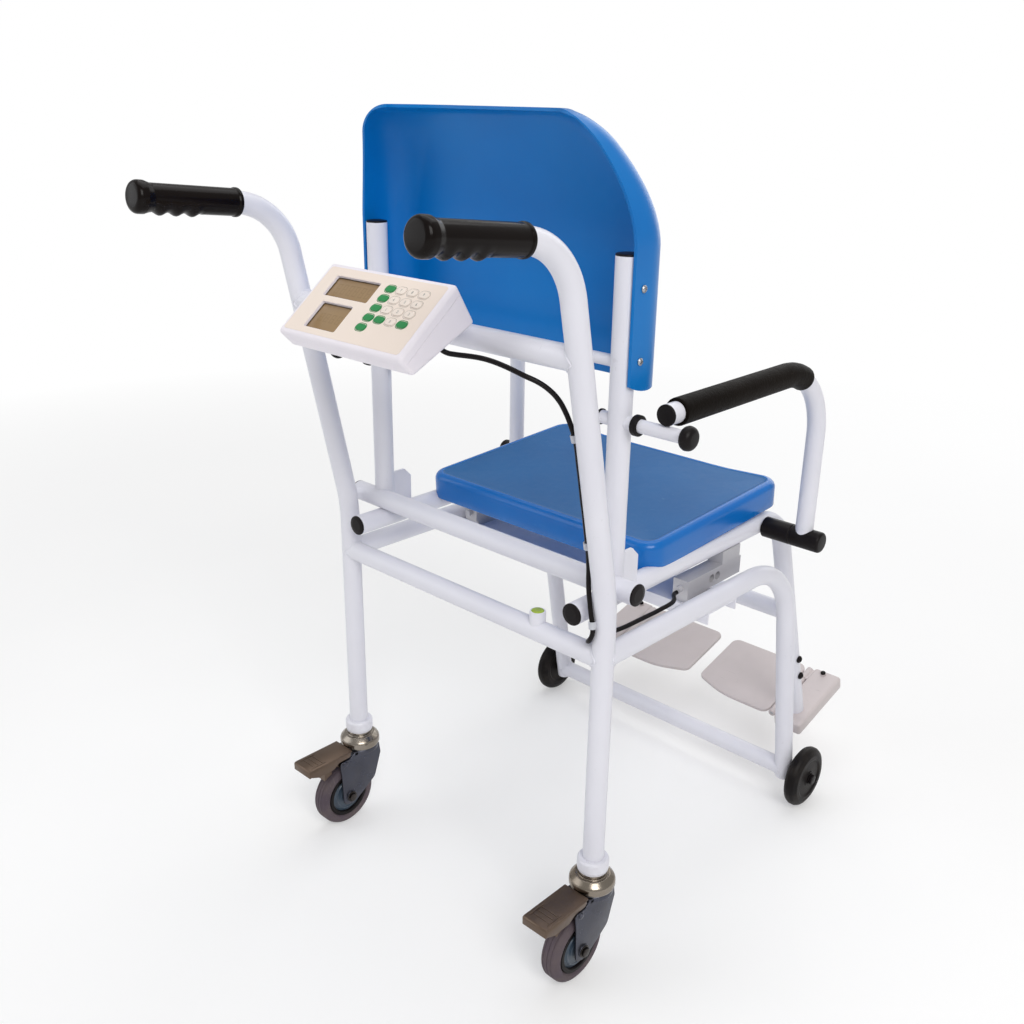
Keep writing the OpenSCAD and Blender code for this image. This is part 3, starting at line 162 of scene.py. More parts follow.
class Nodes:
    """A node tree with short calls to add and join nodes."""

    def __init__(self, tree: bpy.types.NodeTree) -> None:
        """Keeps the tree."""
        self.tree = tree

    def add(self, kind: str, inputs: Optional[dict] = None, **settings: object) -> Node:
        """Adds a node.

        Args:
            kind: The node's type, without the ShaderNode prefix.
            inputs: Socket name or index to a plain value or another node's socket.
            settings: Attributes to set on the node.

        Returns:
            The new node.
        """
        node = self.tree.nodes.new(kind if kind.startswith("Node") else "ShaderNode" + kind)
        for name, value in settings.items():
            setattr(node, name, value)
        for name, value in (inputs or {}).items():
            if isinstance(value, Socket):
                self.tree.links.new(value, node.inputs[name])
            else:
                node.inputs[name].default_value = value
        return node

    def mix(self, factor: object, first: object, second: object) -> Socket:
        """Mixes two colours and returns the result's socket."""
        node = self.add("Mix", data_type="RGBA")
        for index, value in ((0, factor), (6, first), (7, second)):
            if isinstance(value, Socket):
                self.tree.links.new(value, node.inputs[index])
            elif index == 0:
                node.inputs[index].default_value = value
            else:
                node.inputs[index].default_value = (*value, 1.0)[:4]
        return node.outputs[2]

    def ramp(self, value: Socket, low: float, high: float,
             out_low: float = 0.0, out_high: float = 1.0) -> Socket:
        """Maps a value from low..high to out_low..out_high, clamped."""
        node = self.add("MapRange", {"Value": value, "From Min": low, "From Max": high,
                                     "To Min": out_low, "To Max": out_high})
        return node.outputs["Result"]

    def math(self, operation: str, first: object, second: object = 0.0) -> Socket:
        """Adds a Math node and returns its socket."""
        return self.add("Math", {0: first, 1: second}, operation=operation).outputs[0]

    def noise(self, scale: float, detail: float = 2.0, stretch: Optional[Point] = None,
              roughness: float = 0.5) -> Socket:
        """Noise on object coordinates.

        Args:
            scale: Cells per metre.
            detail: Octaves.
            stretch: Factors on the coordinates, for a pattern that runs one way.
            roughness: Weight of the finer octaves.

        Returns:
            The noise's factor.
        """
        vector = self.add("TexCoord").outputs["Object"]
        if stretch:
            vector = self.add("Mapping", {"Vector": vector, "Scale": stretch}).outputs["Vector"]
        return self.add("TexNoise", {"Vector": vector, "Scale": scale, "Detail": detail,
                                     "Roughness": roughness}).outputs[0]


def new_material(name: str, colour: Colour) -> tuple[bpy.types.Material, Nodes, Node]:
    """A material with its nodes and its surface shader."""
    made = bpy.data.materials.new(name)
    made.use_nodes = True
    made.diffuse_color = (*colour, 1.0)
    return made, Nodes(made.node_tree), made.node_tree.nodes["Principled BSDF"]


def shared_group(name: str, inputs: Sequence[tuple[str, str, object]], outputs: Sequence[tuple[str, str]],
                 build: Callable[[Nodes, Node, Node], None]) -> bpy.types.NodeTree:
    """Makes a shader node group once.

    Args:
        name: The group's name.
        inputs: Name, socket type and default of each input.
        outputs: Name and socket type of each output.
        build: Fills the group, given its nodes, its input node and its output node.

    Returns:
        The group, new or made before.
    """
    if name in bpy.data.node_groups:
        return bpy.data.node_groups[name]
    tree = bpy.data.node_groups.new(name, "ShaderNodeTree")
    for label, kind, default in inputs:
        socket = tree.interface.new_socket(label, in_out="INPUT", socket_type=kind)
        socket.default_value = default
    for label, kind in outputs:
        tree.interface.new_socket(label, in_out="OUTPUT", socket_type=kind)
    nodes = Nodes(tree)
    build(nodes, nodes.add("NodeGroupInput"), nodes.add("NodeGroupOutput"))
    return tree


def _fill_mottle(nodes: Nodes, source: Node, target: Node) -> None:
    """Slow cloudy change of colour and roughness, with small marks."""
    coords = nodes.add("TexCoord").outputs["Object"]
    cloud = nodes.add("TexNoise", {"Vector": coords, "Scale": source.outputs["Scale"],
                                   "Detail": 3.0}).outputs[0]
    blend = nodes.ramp(cloud, 0.35, 0.65)
    colour = nodes.mix(blend, source.outputs["Base"], source.outputs["Tint"])
    fine = nodes.add("TexNoise", {"Vector": coords, "Scale": 90.0, "Detail": 4.0}).outputs[0]
    spread = nodes.math("MULTIPLY", nodes.math("SUBTRACT", fine, 0.5), source.outputs["Spread"])
    rough = nodes.math("ADD", source.outputs["Gloss"], spread)
    nodes.tree.links.new(colour, target.inputs["Colour"])
    nodes.tree.links.new(rough, target.inputs["Roughness"])


def mottle_group() -> bpy.types.NodeTree:
    """The shared group for cloudy colour and roughness."""
    return shared_group("mottle", [
        ("Base", "NodeSocketColor", (0.8, 0.8, 0.8, 1.0)), ("Tint", "NodeSocketColor", (0.7, 0.7, 0.7, 1.0)),
        ("Scale", "NodeSocketFloat", 6.0), ("Gloss", "NodeSocketFloat", 0.4),
        ("Spread", "NodeSocketFloat", 0.1),
    ], [("Colour", "NodeSocketColor"), ("Roughness", "NodeSocketFloat")], _fill_mottle)


def _fill_grain(nodes: Nodes, source: Node, target: Node) -> None:
    """Moulding grain: fine pebbles over a slow ripple."""
    coords = nodes.add("TexCoord").outputs["Object"]
    pebble = nodes.add("TexVoronoi", {"Vector": coords, "Scale": source.outputs["Scale"]},
                       feature="SMOOTH_F1").outputs["Distance"]
    ripple = nodes.add("TexNoise", {"Vector": coords, "Scale": source.outputs["Ripple"],
                                    "Detail": 2.0}).outputs[0]
    total = nodes.math("ADD", nodes.math("MULTIPLY", pebble, source.outputs["Pebble"]), ripple)
    nodes.tree.links.new(total, target.inputs["Height"])


def grain_group() -> bpy.types.NodeTree:
    """The shared group for moulding grain and orange peel."""
    return shared_group("grain", [
        ("Scale", "NodeSocketFloat", 900.0), ("Ripple", "NodeSocketFloat", 60.0),
        ("Pebble", "NodeSocketFloat", 0.6),
    ], [("Height", "NodeSocketFloat")], _fill_grain)


def _fill_wear(nodes: Nodes, source: Node, target: Node) -> None:
    """Thin scuffs that run several ways, and dirt that thins out above the floor."""
    scuffs = None
    for stretch in ((4.0, 60.0, 9.0), (55.0, 5.0, 12.0), (8.0, 14.0, 70.0)):
        streak = nodes.noise(7.0, 2.0, stretch)
        mark = nodes.ramp(streak, 0.70, 0.74)
        scuffs = mark if scuffs is None else nodes.math("MAXIMUM", scuffs, mark)
    patch = nodes.ramp(nodes.noise(11.0, 3.0), 0.5, 0.62)
    share = nodes.math("MULTIPLY", patch, source.outputs["Scuffs"])
    nodes.tree.links.new(nodes.math("MULTIPLY", scuffs, share), target.inputs["Scuff"])
    coords = nodes.add("TexCoord").outputs["Object"]
    height = nodes.add("SeparateXYZ", {0: coords}).outputs["Z"]
    low = nodes.ramp(height, 0.22, 0.0)
    dust = nodes.math("MULTIPLY", low, nodes.ramp(nodes.noise(45.0, 5.0), 0.4, 0.75))
    nodes.tree.links.new(nodes.math("MULTIPLY", dust, source.outputs["Dust"]), target.inputs["Dust"])


def wear_group() -> bpy.types.NodeTree:
    """The shared group for scuffs and floor dirt."""
    return shared_group("wear", [("Scuffs", "NodeSocketFloat", 0.3), ("Dust", "NodeSocketFloat", 0.3)],
                        [("Scuff", "NodeSocketFloat"), ("Dust", "NodeSocketFloat")], _fill_wear)


@dataclass(frozen=True)
class Finish:
    """A moulded, painted or plated surface.

    Attributes:
        name: The material's name.
        slot: The record's slot that the finish belongs to; not used.
        base: Colour.
        tint: Second colour of the cloudy change.
        gloss: Middle roughness.
        spread: How much the roughness varies.
        metal: Metallic.
        grain: Cells of the pebble grain per metre.
        ripple: Cells of the slow ripple per metre.
        pebble: Weight of the pebbles against the ripple.
        bump: Depth of the grain in metres.
        coat: Weight of a clear top coat.
        specular: Strength of the plain reflection.
        scuffs: Strength of the scuffs.
        dust: Strength of the dirt near the floor.
        scuff_colour: Colour of the scuffs.
        streak: Stretch of a fine brushed pattern, or none.
    """

    name: str
    slot: str
    base: Colour
    tint: Colour
    gloss: float = 0.4
    spread: float = 0.1
    metal: float = 0.0
    grain: float = 900.0
    ripple: float = 60.0
    pebble: float = 0.6
    bump: float = 0.00005
    coat: float = 0.0
    specular: float = 0.5
    scuffs: float = 0.2
    dust: float = 0.0
    scuff_colour: Colour = (0.3, 0.3, 0.32)
    streak: Optional[Point] = None

    def material(self) -> bpy.types.Material:
        """Builds the material, or returns the one built before."""
        if self.name in bpy.data.materials:
            return bpy.data.materials[self.name]
        made, nodes, shader = new_material(self.name, self.base)
        cloud = nodes.add("Group", node_tree=mottle_group())
        cloud.inputs["Base"].default_value = (*self.base, 1.0)
        cloud.inputs["Tint"].default_value = (*self.tint, 1.0)
        cloud.inputs["Gloss"].default_value = self.gloss
        cloud.inputs["Spread"].default_value = self.spread
        wear = nodes.add("Group", {"Scuffs": self.scuffs, "Dust": self.dust}, node_tree=wear_group())
        colour = nodes.mix(wear.outputs["Scuff"], cloud.outputs["Colour"], self.scuff_colour)
        colour = nodes.mix(wear.outputs["Dust"], colour, srgb(120, 110, 100))
        rough = nodes.math("ADD", cloud.outputs["Roughness"], nodes.math("MULTIPLY", wear.outputs["Dust"], 0.3))
        grain = nodes.add("Group", {"Scale": self.grain, "Ripple": self.ripple, "Pebble": self.pebble},
                          node_tree=grain_group())
        height = grain.outputs["Height"]
        if self.streak:
            brushed = nodes.noise(60.0, 3.0, self.streak)
            height = nodes.math("ADD", height, brushed)
            rough = nodes.math("ADD", rough, nodes.math("MULTIPLY", nodes.math("SUBTRACT", brushed, 0.5), 0.25))
        bump = nodes.add("Bump", {"Height": height, "Strength": 1.0, "Distance": self.bump})
        links = made.node_tree.links
        links.new(colour, shader.inputs["Base Color"])
        links.new(rough, shader.inputs["Roughness"])
        links.new(bump.outputs["Normal"], shader.inputs["Normal"])
        shader.inputs["Metallic"].default_value = self.metal
        shader.inputs["Specular IOR Level"].default_value = self.specular
        shader.inputs["Coat Weight"].default_value = self.coat
        shader.inputs["Coat Roughness"].default_value = 0.12
        return made


@dataclass(frozen=True)
class ClearFinish:
    """A clear or tinted see-through surface.

    Attributes:
        name: The material's name.
        slot: The record's slot that the finish belongs to; not used.
        base: Tint.
        gloss: Roughness.
        clearness: Transmission weight.
        ripple: Depth of the moulding ripple in metres.
    """

    name: str
    slot: str
    base: Colour
    gloss: float = 0.05
    clearness: float = 0.9
    ripple: float = 0.00003

    def material(self) -> bpy.types.Material:
        """Builds the material, or returns the one built before."""
        if self.name in bpy.data.materials:
            return bpy.data.materials[self.name]
        made, nodes, shader = new_material(self.name, self.base)
        cloud = nodes.ramp(nodes.noise(220.0, 3.0), 0.3, 0.7)
        colour = nodes.mix(cloud, self.base, tuple(c * 0.93 for c in self.base))
        bump = nodes.add("Bump", {"Height": nodes.noise(400.0, 2.0), "Distance": self.ripple})
        made.node_tree.links.new(colour, shader.inputs["Base Color"])
        made.node_tree.links.new(bump.outputs["Normal"], shader.inputs["Normal"])
        shader.inputs["Roughness"].default_value = self.gloss
        shader.inputs["Transmission Weight"].default_value = self.clearness
        shader.inputs["IOR"].default_value = 1.46
        return made


PAINT = Finish("white_powder_coat", "frame_paint", srgb(224, 224, 232), srgb(219, 219, 228), gloss=0.34,
               spread=0.08, grain=420.0, ripple=170.0, pebble=0.35, coat=0.1, specular=0.4, scuffs=0.15,
               dust=0.04, scuff_colour=srgb(170, 170, 174))
SHELL_BLUE = Finish("blue_back_plastic", "shell_blue", srgb(3, 114, 190), srgb(2, 106, 182), gloss=0.32,
                    grain=1500.0, ripple=25.0, pebble=0.25, bump=0.00008, specular=0.25,
                    scuff_colour=srgb(40, 128, 194))
SEAT_RIM = Finish("blue_seat_rim", "seat_blue", srgb(4, 108, 188), srgb(3, 100, 180), gloss=0.24, spread=0.08,
                  grain=1300.0, ripple=30.0, pebble=0.2, bump=0.00006, coat=0.05, specular=0.35, scuffs=0.25,
                  scuff_colour=srgb(50, 124, 186))
# Same plastic as the seat rim: the top's greyer, duller blue is painted grazing sheen over its real grain and
# roughness.
SEAT_TOP_SHEEN = Finish("blue_seat_top", "seat_blue", srgb(28, 99, 158), srgb(22, 91, 150), gloss=0.46, spread=0.12,
                  grain=1100.0, ripple=30.0, pebble=0.9, bump=0.00012, specular=0.25, scuffs=0.6,
                  scuff_colour=srgb(58, 114, 162))
BLACK = Finish("black_plug_plastic", "black_plastic", srgb(19, 16, 17), srgb(26, 22, 23), gloss=0.36,
               spread=0.14, grain=1200.0, bump=0.00006, specular=0.12, scuffs=0.3,
               scuff_colour=srgb(50, 46, 46))
GRIP = Finish("grip_vinyl", "grip_black", srgb(13, 9, 8), srgb(18, 12, 10), gloss=0.2, spread=0.08, grain=700.0,
              ripple=90.0, pebble=0.3, bump=0.00008, specular=0.12, scuff_colour=srgb(30, 23, 20))
PAD = Finish("arm_pad_foam", "pad_brown", srgb(17, 13, 10), srgb(24, 19, 15), gloss=0.5, spread=0.2,
             grain=800.0, ripple=240.0, pebble=0.9, bump=0.0003, specular=0.04, scuffs=0.3,
             scuff_colour=srgb(58, 48, 40))
PLATE = Finish("footplate_plastic", "plate_grey", srgb(206, 197, 197), srgb(199, 190, 190), gloss=0.5,
               spread=0.12, grain=1000.0, bump=0.0001, specular=0.3, scuffs=0.3, dust=0.08,
               scuff_colour=srgb(165, 157, 157))
ZINC = Finish("castor_zinc", "zinc", srgb(150, 143, 134), srgb(118, 104, 86), gloss=0.24, spread=0.18,
              metal=1.0, grain=500.0, ripple=110.0, pebble=0.4, bump=0.0001, dust=0.1,
              scuff_colour=srgb(112, 102, 88))
# Darker copy of the castor zinc for the brake pedal: painted reflection of dark surroundings.
PEDAL_DARK_REFLECTION = Finish("pedal_zinc", "zinc", srgb(112, 96, 84), srgb(92, 78, 68), gloss=0.36, spread=0.14, metal=1.0,
               grain=500.0, ripple=110.0, pebble=0.4, bump=0.0001, scuffs=0.25, dust=0.1,
               scuff_colour=srgb(122, 106, 84))
# Darker copy of the castor zinc for the pressed fork: painted reflection of dark surroundings.
FORK_DARK_REFLECTION = Finish("castor_fork_steel", "zinc", srgb(88, 90, 100), srgb(62, 62, 70), gloss=0.3, spread=0.2,
              metal=1.0, grain=500.0, ripple=90.0, pebble=0.4, bump=0.0001, scuffs=0.5, dust=0.15,
              scuff_colour=srgb(112, 104, 94))
DARK_STEEL = Finish("dark_steel", "steel", srgb(74, 70, 68), srgb(54, 50, 48), gloss=0.34, spread=0.16,
                    metal=1.0, grain=700.0, scuffs=0.4, scuff_colour=srgb(120, 112, 104))
CELL = Finish("cell_aluminium", "steel", srgb(196, 195, 199), srgb(187, 186, 190), gloss=0.5, spread=0.12,
              metal=0.3, bump=0.00004, specular=0.4, scuff_colour=srgb(160, 158, 160), streak=(30.0, 1.0, 30.0))
STEEL = Finish("plain_steel", "steel", srgb(178, 178, 181), srgb(152, 153, 158), gloss=0.3, spread=0.18,
               metal=1.0, grain=700.0, scuffs=0.3, scuff_colour=srgb(110, 108, 106), streak=(1.0, 30.0, 30.0))
TYRE = Finish("castor_tyre", "tyre_grey", srgb(90, 79, 87), srgb(74, 65, 73), gloss=0.6, spread=0.16,
              ripple=140.0, bump=0.0002, specular=0.2, scuffs=0.6, dust=0.4, scuff_colour=srgb(118, 106, 106))
HUB = Finish("castor_hub_plastic", "tyre_grey", srgb(62, 76, 90), srgb(50, 63, 78), gloss=0.34, spread=0.12,
             grain=1000.0, bump=0.00006, specular=0.4, scuffs=0.5, dust=0.2, scuff_colour=srgb(100, 108, 114))
WHEEL = Finish("front_wheel_rubber", "wheel_black", srgb(17, 14, 15), srgb(23, 20, 20), gloss=0.44, spread=0.16,
               ripple=120.0, bump=0.00015, specular=0.12, scuffs=0.4, dust=0.12, scuff_colour=srgb(66, 60, 57))
HOUSING = Finish("housing_plastic", "housing_white", srgb(238, 233, 240), srgb(232, 227, 235), gloss=0.46,
                 spread=0.08, grain=1400.0, ripple=70.0, pebble=0.8, bump=0.00008, specular=0.3, scuffs=0.15,
                 scuff_colour=srgb(200, 195, 198))
OVERLAY = Finish("panel_overlay", "housing_white", srgb(236, 223, 212), srgb(232, 218, 207), gloss=0.42,
                 spread=0.06, grain=1800.0, ripple=50.0, pebble=0.3, bump=0.00003, specular=0.25, scuffs=0.1,
                 scuff_colour=srgb(205, 195, 188))
# Dark lining of the display recess walls: painted shade of the recesses.
RECESS_SHADE = Finish("window_edge", "black_plastic", srgb(74, 60, 46), srgb(64, 52, 40), bump=0.00004,
                     specular=0.3)
LCD = Finish("display_glass", "housing_white", srgb(150, 125, 92), srgb(142, 117, 86), gloss=0.16, spread=0.04,
             grain=2500.0, ripple=12.0, pebble=0.05, bump=0.00001, coat=0.1, specular=0.3,
             scuff_colour=srgb(160, 138, 108))
LCD_DARK = Finish("display_segments", "black_plastic", srgb(144, 120, 88), srgb(138, 114, 84), gloss=0.2,
                  spread=0.03, bump=0.00001, specular=0.3, scuffs=0.0)
KEY_GREEN = Finish("green_key", "key_green", srgb(44, 138, 78), srgb(38, 128, 70), gloss=0.38, grain=1500.0,
                   specular=0.3, scuffs=0.3, scuff_colour=srgb(100, 168, 126))
KEY_WHITE = Finish("white_key", "key_white", srgb(236, 225, 215), srgb(231, 219, 209), gloss=0.5, spread=0.08,
                   grain=1500.0, bump=0.00004, specular=0.2, scuffs=0.15, scuff_colour=srgb(205, 196, 190))
INK = Finish("key_ink", "key_green", srgb(128, 134, 128), srgb(120, 126, 120), gloss=0.5, spread=0.05,
             bump=0.00002, specular=0.2)
BOARD = Finish("circuit_board", "board_green", srgb(30, 96, 48), srgb(24, 84, 42))
LEVEL_FLUID = ClearFinish("level_fluid", "level_green", srgb(200, 228, 84), gloss=0.12, clearness=0.45)
CLIP = ClearFinish("clip_nylon", "clip_clear", srgb(222, 224, 232), gloss=0.4, clearness=0.35)


# Building


# Puts an outline drawn in XY and extruded along Z into YZ, extruded along X.
TO_YZ = Matrix(((0, 0, 1, 0), (1, 0, 0, 0), (0, 1, 0, 0), (0, 0, 0, 1)))


def added(bm: BMesh, before: set) -> list:
    """The vertices that a mesh got after a set of them was noted."""
    return [v for v in bm.verts if v not in before]


def once(items: Iterable) -> list:
    """The items in their order, without repeats."""
    return list(dict.fromkeys(items))


def transformed(bm: BMesh, matrix: Matrix, verts: Optional[Iterable] = None) -> None:
    """Moves a mesh, or some of its vertices, by a matrix."""
    bmesh.ops.transform(bm, matrix=matrix, verts=list(verts) if verts is not None else bm.verts[:])


def facing(origin: Vector, direction: Vector, turn: float = 0.0) -> Matrix:
    """A matrix that puts a shape drawn along +Z at a point, along a direction.

    Args:
        origin: Where the shape's own origin goes, in metres.
        direction: Where the shape's +Z points.
        turn: Turn about that direction, in degrees.

    Returns:
        The 4x4 matrix.
    """
    turn_z = Matrix.Rotation(math.radians(turn), 4, "Z")
    return Matrix.Translation(origin) @ direction.to_track_quat("Z", "Y").to_matrix().to_4x4() @ turn_z


class Maker:
    """Makes finished pieces and hangs them on their bodies."""

    def __init__(self, frame: dict) -> None:
        """Keeps the loaded frame."""
        self.frame = frame
        self.count = 0

    def dress(self, node: str, finish: Finish) -> None:
        """Gives a CAD node's object a finish."""
        mesh = self.frame["nodes"][node].data
        mesh.materials.clear()
        mesh.materials.append(finish.material())
        LOG.info("dressed %s with %s", node, finish.name)

    def piece(self, name: str, bm: BMesh, body: str, finish: Finish | ClearFinish,
              stands_for: Sequence[str] = (), sharp: float = 35.0,
              others: Sequence[Finish] = ()) -> Object:
        """Turns a mesh into a finished piece.

        Args:
            name: The piece's name.
            bm: Its mesh in the model's frame; it is freed.
            body: The body it rides on.
            finish: Its material.
            stands_for: CAD nodes that it replaces.
            sharp: Angle in degrees above which an edge stays sharp.
            others: Further materials, for faces with an index above 0.

        Returns:
            The object.
        """
        bmesh.ops.recalc_face_normals(bm, faces=bm.faces[:])
        return self.adopt(name, mesh_of(bm, name), body, finish, stands_for, sharp, others)

    def adopt(self, name: str, mesh: Mesh, body: str, finish: Finish | ClearFinish,
              stands_for: Sequence[str] = (), sharp: float = 35.0,
              others: Sequence[Finish] = ()) -> Object:
        """As piece(), from a finished mesh."""
        for used in (finish, *others):
            mesh.materials.append(used.material())
        mesh.shade_smooth()
        mesh.set_sharp_from_angle(angle=math.radians(sharp))
        made = placed(name, mesh)
        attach(made, body)
        if stands_for:
            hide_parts(*stands_for)
        self.count += 1
        LOG.info("made %s on %s, %d faces", name, body, len(mesh.polygons))
        return made


def lathe(bm: BMesh, profile: Sequence[Flat], steps: int = 48) -> list:
    """Spins a profile of (radius, height) in millimetres about Z into the mesh, in metres.

    Args:
        bm: The mesh that takes the shape.
        profile: Points from one end to the other; a radius of 0 closes the shape on the axis.
        steps: Segments round the axis.

    Returns:
        The new vertices.
    """
    before = set(bm.verts)
    line = [bm.verts.new((r / 1000.0, 0.0, z / 1000.0)) for r, z in profile]
    edges = [bm.edges.new(pair) for pair in zip(line, line[1:])]
    bmesh.ops.spin(bm, geom=line + edges, cent=(0, 0, 0), axis=(0, 0, 1), angle=math.tau, steps=steps,
                   use_merge=True)
    made = added(bm, before)
    bmesh.ops.remove_doubles(bm, verts=made, dist=1e-6)
    return added(bm, before)


def rounded(profile: Sequence[Point], steps: int = 5) -> list[Flat]:
    """Rounds the corners of an open profile.

    Args:
        profile: (first, second, corner radius) of each point, all in millimetres.
        steps: Segments in each corner.

    Returns:
        Plain points, with an arc at each corner that has a radius.
    """
    out: list[Flat] = []
    for i, (x, y, r) in enumerate(profile):
        here = Vector((x, y))
        if r <= 0 or i in (0, len(profile) - 1):
            out.append((x, y))
            continue
        back = (Vector(profile[i - 1][:2]) - here).normalized()
        ahead = (Vector(profile[i + 1][:2]) - here).normalized()
        angle = back.angle(ahead)
        cut = r / math.tan(angle / 2)
        centre = here + (back + ahead).normalized() * (r / math.sin(angle / 2))
        start = here + back * cut - centre
        end = here + ahead * cut - centre
        for k in range(steps + 1):
            t = k / steps
            spot = centre + start.normalized().slerp(end.normalized(), t) * r
            out.append((spot.x, spot.y))
    return out


def sleeve(bm: BMesh, hole: float, rim: float, low: float, high: float,
           rounds: Flat = (0.8, 0.8), steps: int = 3, sides: int = 28) -> list:
    """A closed tube about Z, in millimetres.

    Args:
        bm: The mesh that takes the shape.
        hole: Inner radius.
        rim: Outer radius.
        low: Height of its lower end.
        high: Height of its upper end.
        rounds: Radii of the outer rims, lower and upper.
        steps: Segments in each rim.
        sides: Segments round the axis.

    Returns:
        The new vertices.
    """
    outline = [(hole, low, 0), (rim, low, rounds[0]), (rim, high, rounds[1]), (hole, high, 0), (hole, low, 0)]
    return lathe(bm, rounded(outline, steps), sides)


def bar(bm: BMesh, r: float, low: float, high: float, rounds: Flat = (0.6, 0.6),
        steps: int = 3, sides: int = 28) -> list:
    """As sleeve(), without the hole."""
    corners = [(0, low, 0), (r, low, rounds[0]), (r, high, rounds[1]), (0, high, 0)]
    return lathe(bm, rounded(corners, steps), sides)


def slab(bm: BMesh, outline: Sequence[Flat], thick: float,
         bevel: float = 0.0, segments: int = 2) -> list:
    """Extrudes a closed outline in XY, millimetres, along +Z into the mesh, in metres.

    Args:
        bm: The mesh that takes the shape.
        outline: Corner points.
        thick: Thickness.
        bevel: Width of the bevel on the rims of both faces.
        segments: Segments of that bevel.

    Returns:
        The new vertices.
    """
    before = set(bm.verts)
    face = bm.faces.new([bm.verts.new((x / 1000.0, y / 1000.0, 0.0)) for x, y in outline])
    top = bmesh.ops.extrude_face_region(bm, geom=[face])
    lifted = [g for g in top["geom"] if isinstance(g, bmesh.types.BMVert)]
    bmesh.ops.translate(bm, vec=(0, 0, thick / 1000.0), verts=lifted)
    made = added(bm, before)
    bmesh.ops.recalc_face_normals(bm, faces=once(f for v in made for f in v.link_faces))
    if bevel > 0:
        rims = [e for e in once(e for v in made for e in v.link_edges)
                if abs(e.verts[0].co.z - e.verts[1].co.z) < 1e-7]
        bmesh.ops.bevel(bm, geom=rims, offset=bevel / 1000.0, affect="EDGES", segments=segments, profile=0.5,
                        material=-1, clamp_overlap=True)
    return added(bm, before)


def block(bm: BMesh, low: Point, high: Point, bevel: float = 1.0, segments: int = 3) -> list:
    """A box with rounded edges, from its low to its high corner in millimetres, in metres.

    Args:
        bm: The mesh that takes the shape.
        low: Lowest corner.
        high: Highest corner.
        bevel: Radius of the edges.
        segments: Segments of the rounding.

    Returns:
        The new vertices.
    """
    before = set(bm.verts)
    size = [(h - l) / 1000.0 for l, h in zip(low, high)]
    middle = [(h + l) / 2000.0 for l, h in zip(low, high)]
    bmesh.ops.create_cube(bm, size=1.0, matrix=Matrix.Translation(middle) @ Matrix.Diagonal((*size, 1.0)))
    made = added(bm, before)
    if bevel > 0:
        bmesh.ops.bevel(bm, geom=once(e for v in made for e in v.link_edges), offset=bevel / 1000.0,
                        affect="EDGES", segments=segments, profile=0.5, material=-1, clamp_overlap=True)
    return added(bm, before)


def swept(points: Sequence[Vector], radius: float, sides: int = 24, smooth: bool = False,
          closed: bool = False, shares: Sequence[float] = ()) -> Mesh:
    """A round rod along points, in metres, made with a bevelled curve.

    Args:
        points: The centreline.
        radius: Radius in metres.
        sides: Sides of the rod.
        smooth: True for a spline through few points, False for a dense line.
        closed: True for a ring.
        shares: Share of the radius at each point of a dense line; all of it if empty.

    Returns:
        The rod's mesh, with closed ends.
    """
    curve = bpy.data.curves.new("sweep", "CURVE")
    curve.dimensions = "3D"
    curve.bevel_depth = radius
    curve.bevel_resolution = max(1, sides // 4 - 1)
    curve.use_fill_caps = True
    curve.twist_mode = "MINIMUM"
    if smooth:
        spline = curve.splines.new("BEZIER")
        spline.bezier_points.add(len(points) - 1)
        spline.resolution_u = 6
        for bezier, point in zip(spline.bezier_points, points):
            bezier.co = point
            bezier.handle_left_type = bezier.handle_right_type = "AUTO"
        curve.resolution_u = 6
    else:
        spline = curve.splines.new("POLY")
        spline.points.add(len(points) - 1)
        for poly, point, share in zip(spline.points, points, shares or [1.0] * len(points)):
            poly.co = (*point, 1.0)
            poly.radius = share
    spline.use_cyclic_u = closed
    holder = placed("sweep", curve)
    mesh = shaped(holder)
    bpy.data.objects.remove(holder)
    bpy.data.curves.remove(curve)
    return mesh


def skin(bm: BMesh, rings: Sequence[Sequence[Vector]]) -> list[list]:
    """Joins closed rings of points by extruding the first ring from place to place.

    Args:
        bm: The mesh that takes the shape.
        rings: Rings with equally many points each, in metres.

    Returns:
        The vertices of each ring.
    """
    line = [bm.verts.new(point) for point in rings[0]]
    edges = [bm.edges.new(pair) for pair in zip(line, line[1:] + line[:1])]
    made = [line]
    for points in rings[1:]:
        place = {vert: i for i, vert in enumerate(line)}
        grown = bmesh.ops.extrude_edge_only(bm, edges=edges)["geom"]
        fresh = {g for g in grown if isinstance(g, bmesh.types.BMVert)}
        edges = [g for g in grown if isinstance(g, bmesh.types.BMEdge) and all(v in fresh for v in g.verts)]
        for vert in fresh:
            below = next(e.other_vert(vert) for e in vert.link_edges if e.other_vert(vert) in place)
            vert.co = points[place[below]]
        line = sorted(fresh, key=lambda v: next(place[e.other_vert(v)] for e in v.link_edges
                                                if e.other_vert(v) in place))
        made.append(line)
    return made


def joined(meshes: Sequence[Mesh]) -> BMesh:
    """One bmesh from several meshes, which are removed."""
    bm = bmesh.new()
    for mesh in meshes:
        loaded(mesh, bm)
    bmesh.ops.remove_doubles(bm, verts=bm.verts[:], dist=1e-7)
    return bm


def carve(base: BMesh, cutter: BMesh) -> BMesh:
    """Cuts one closed mesh out of another.

    Args:
        base: The mesh to cut; it is freed.
        cutter: What is taken away; it is freed.

    Returns:
        The cut mesh.
    """
    objects = []
    for name, bm in (("base", base), ("cutter", cutter)):
        bmesh.ops.recalc_face_normals(bm, faces=bm.faces[:])
        objects.append(placed(name, mesh_of(bm, name)))
    cut = objects[0].modifiers.new("cut", "BOOLEAN")
    cut.operation = "DIFFERENCE"
    cut.solver = "EXACT"
    cut.use_self = True
    cut.object = objects[1]
    result = loaded(shaped(objects[0]))
    for made in objects:
        data = made.data
        bpy.data.objects.remove(made)
        bpy.data.meshes.remove(data)
    return result


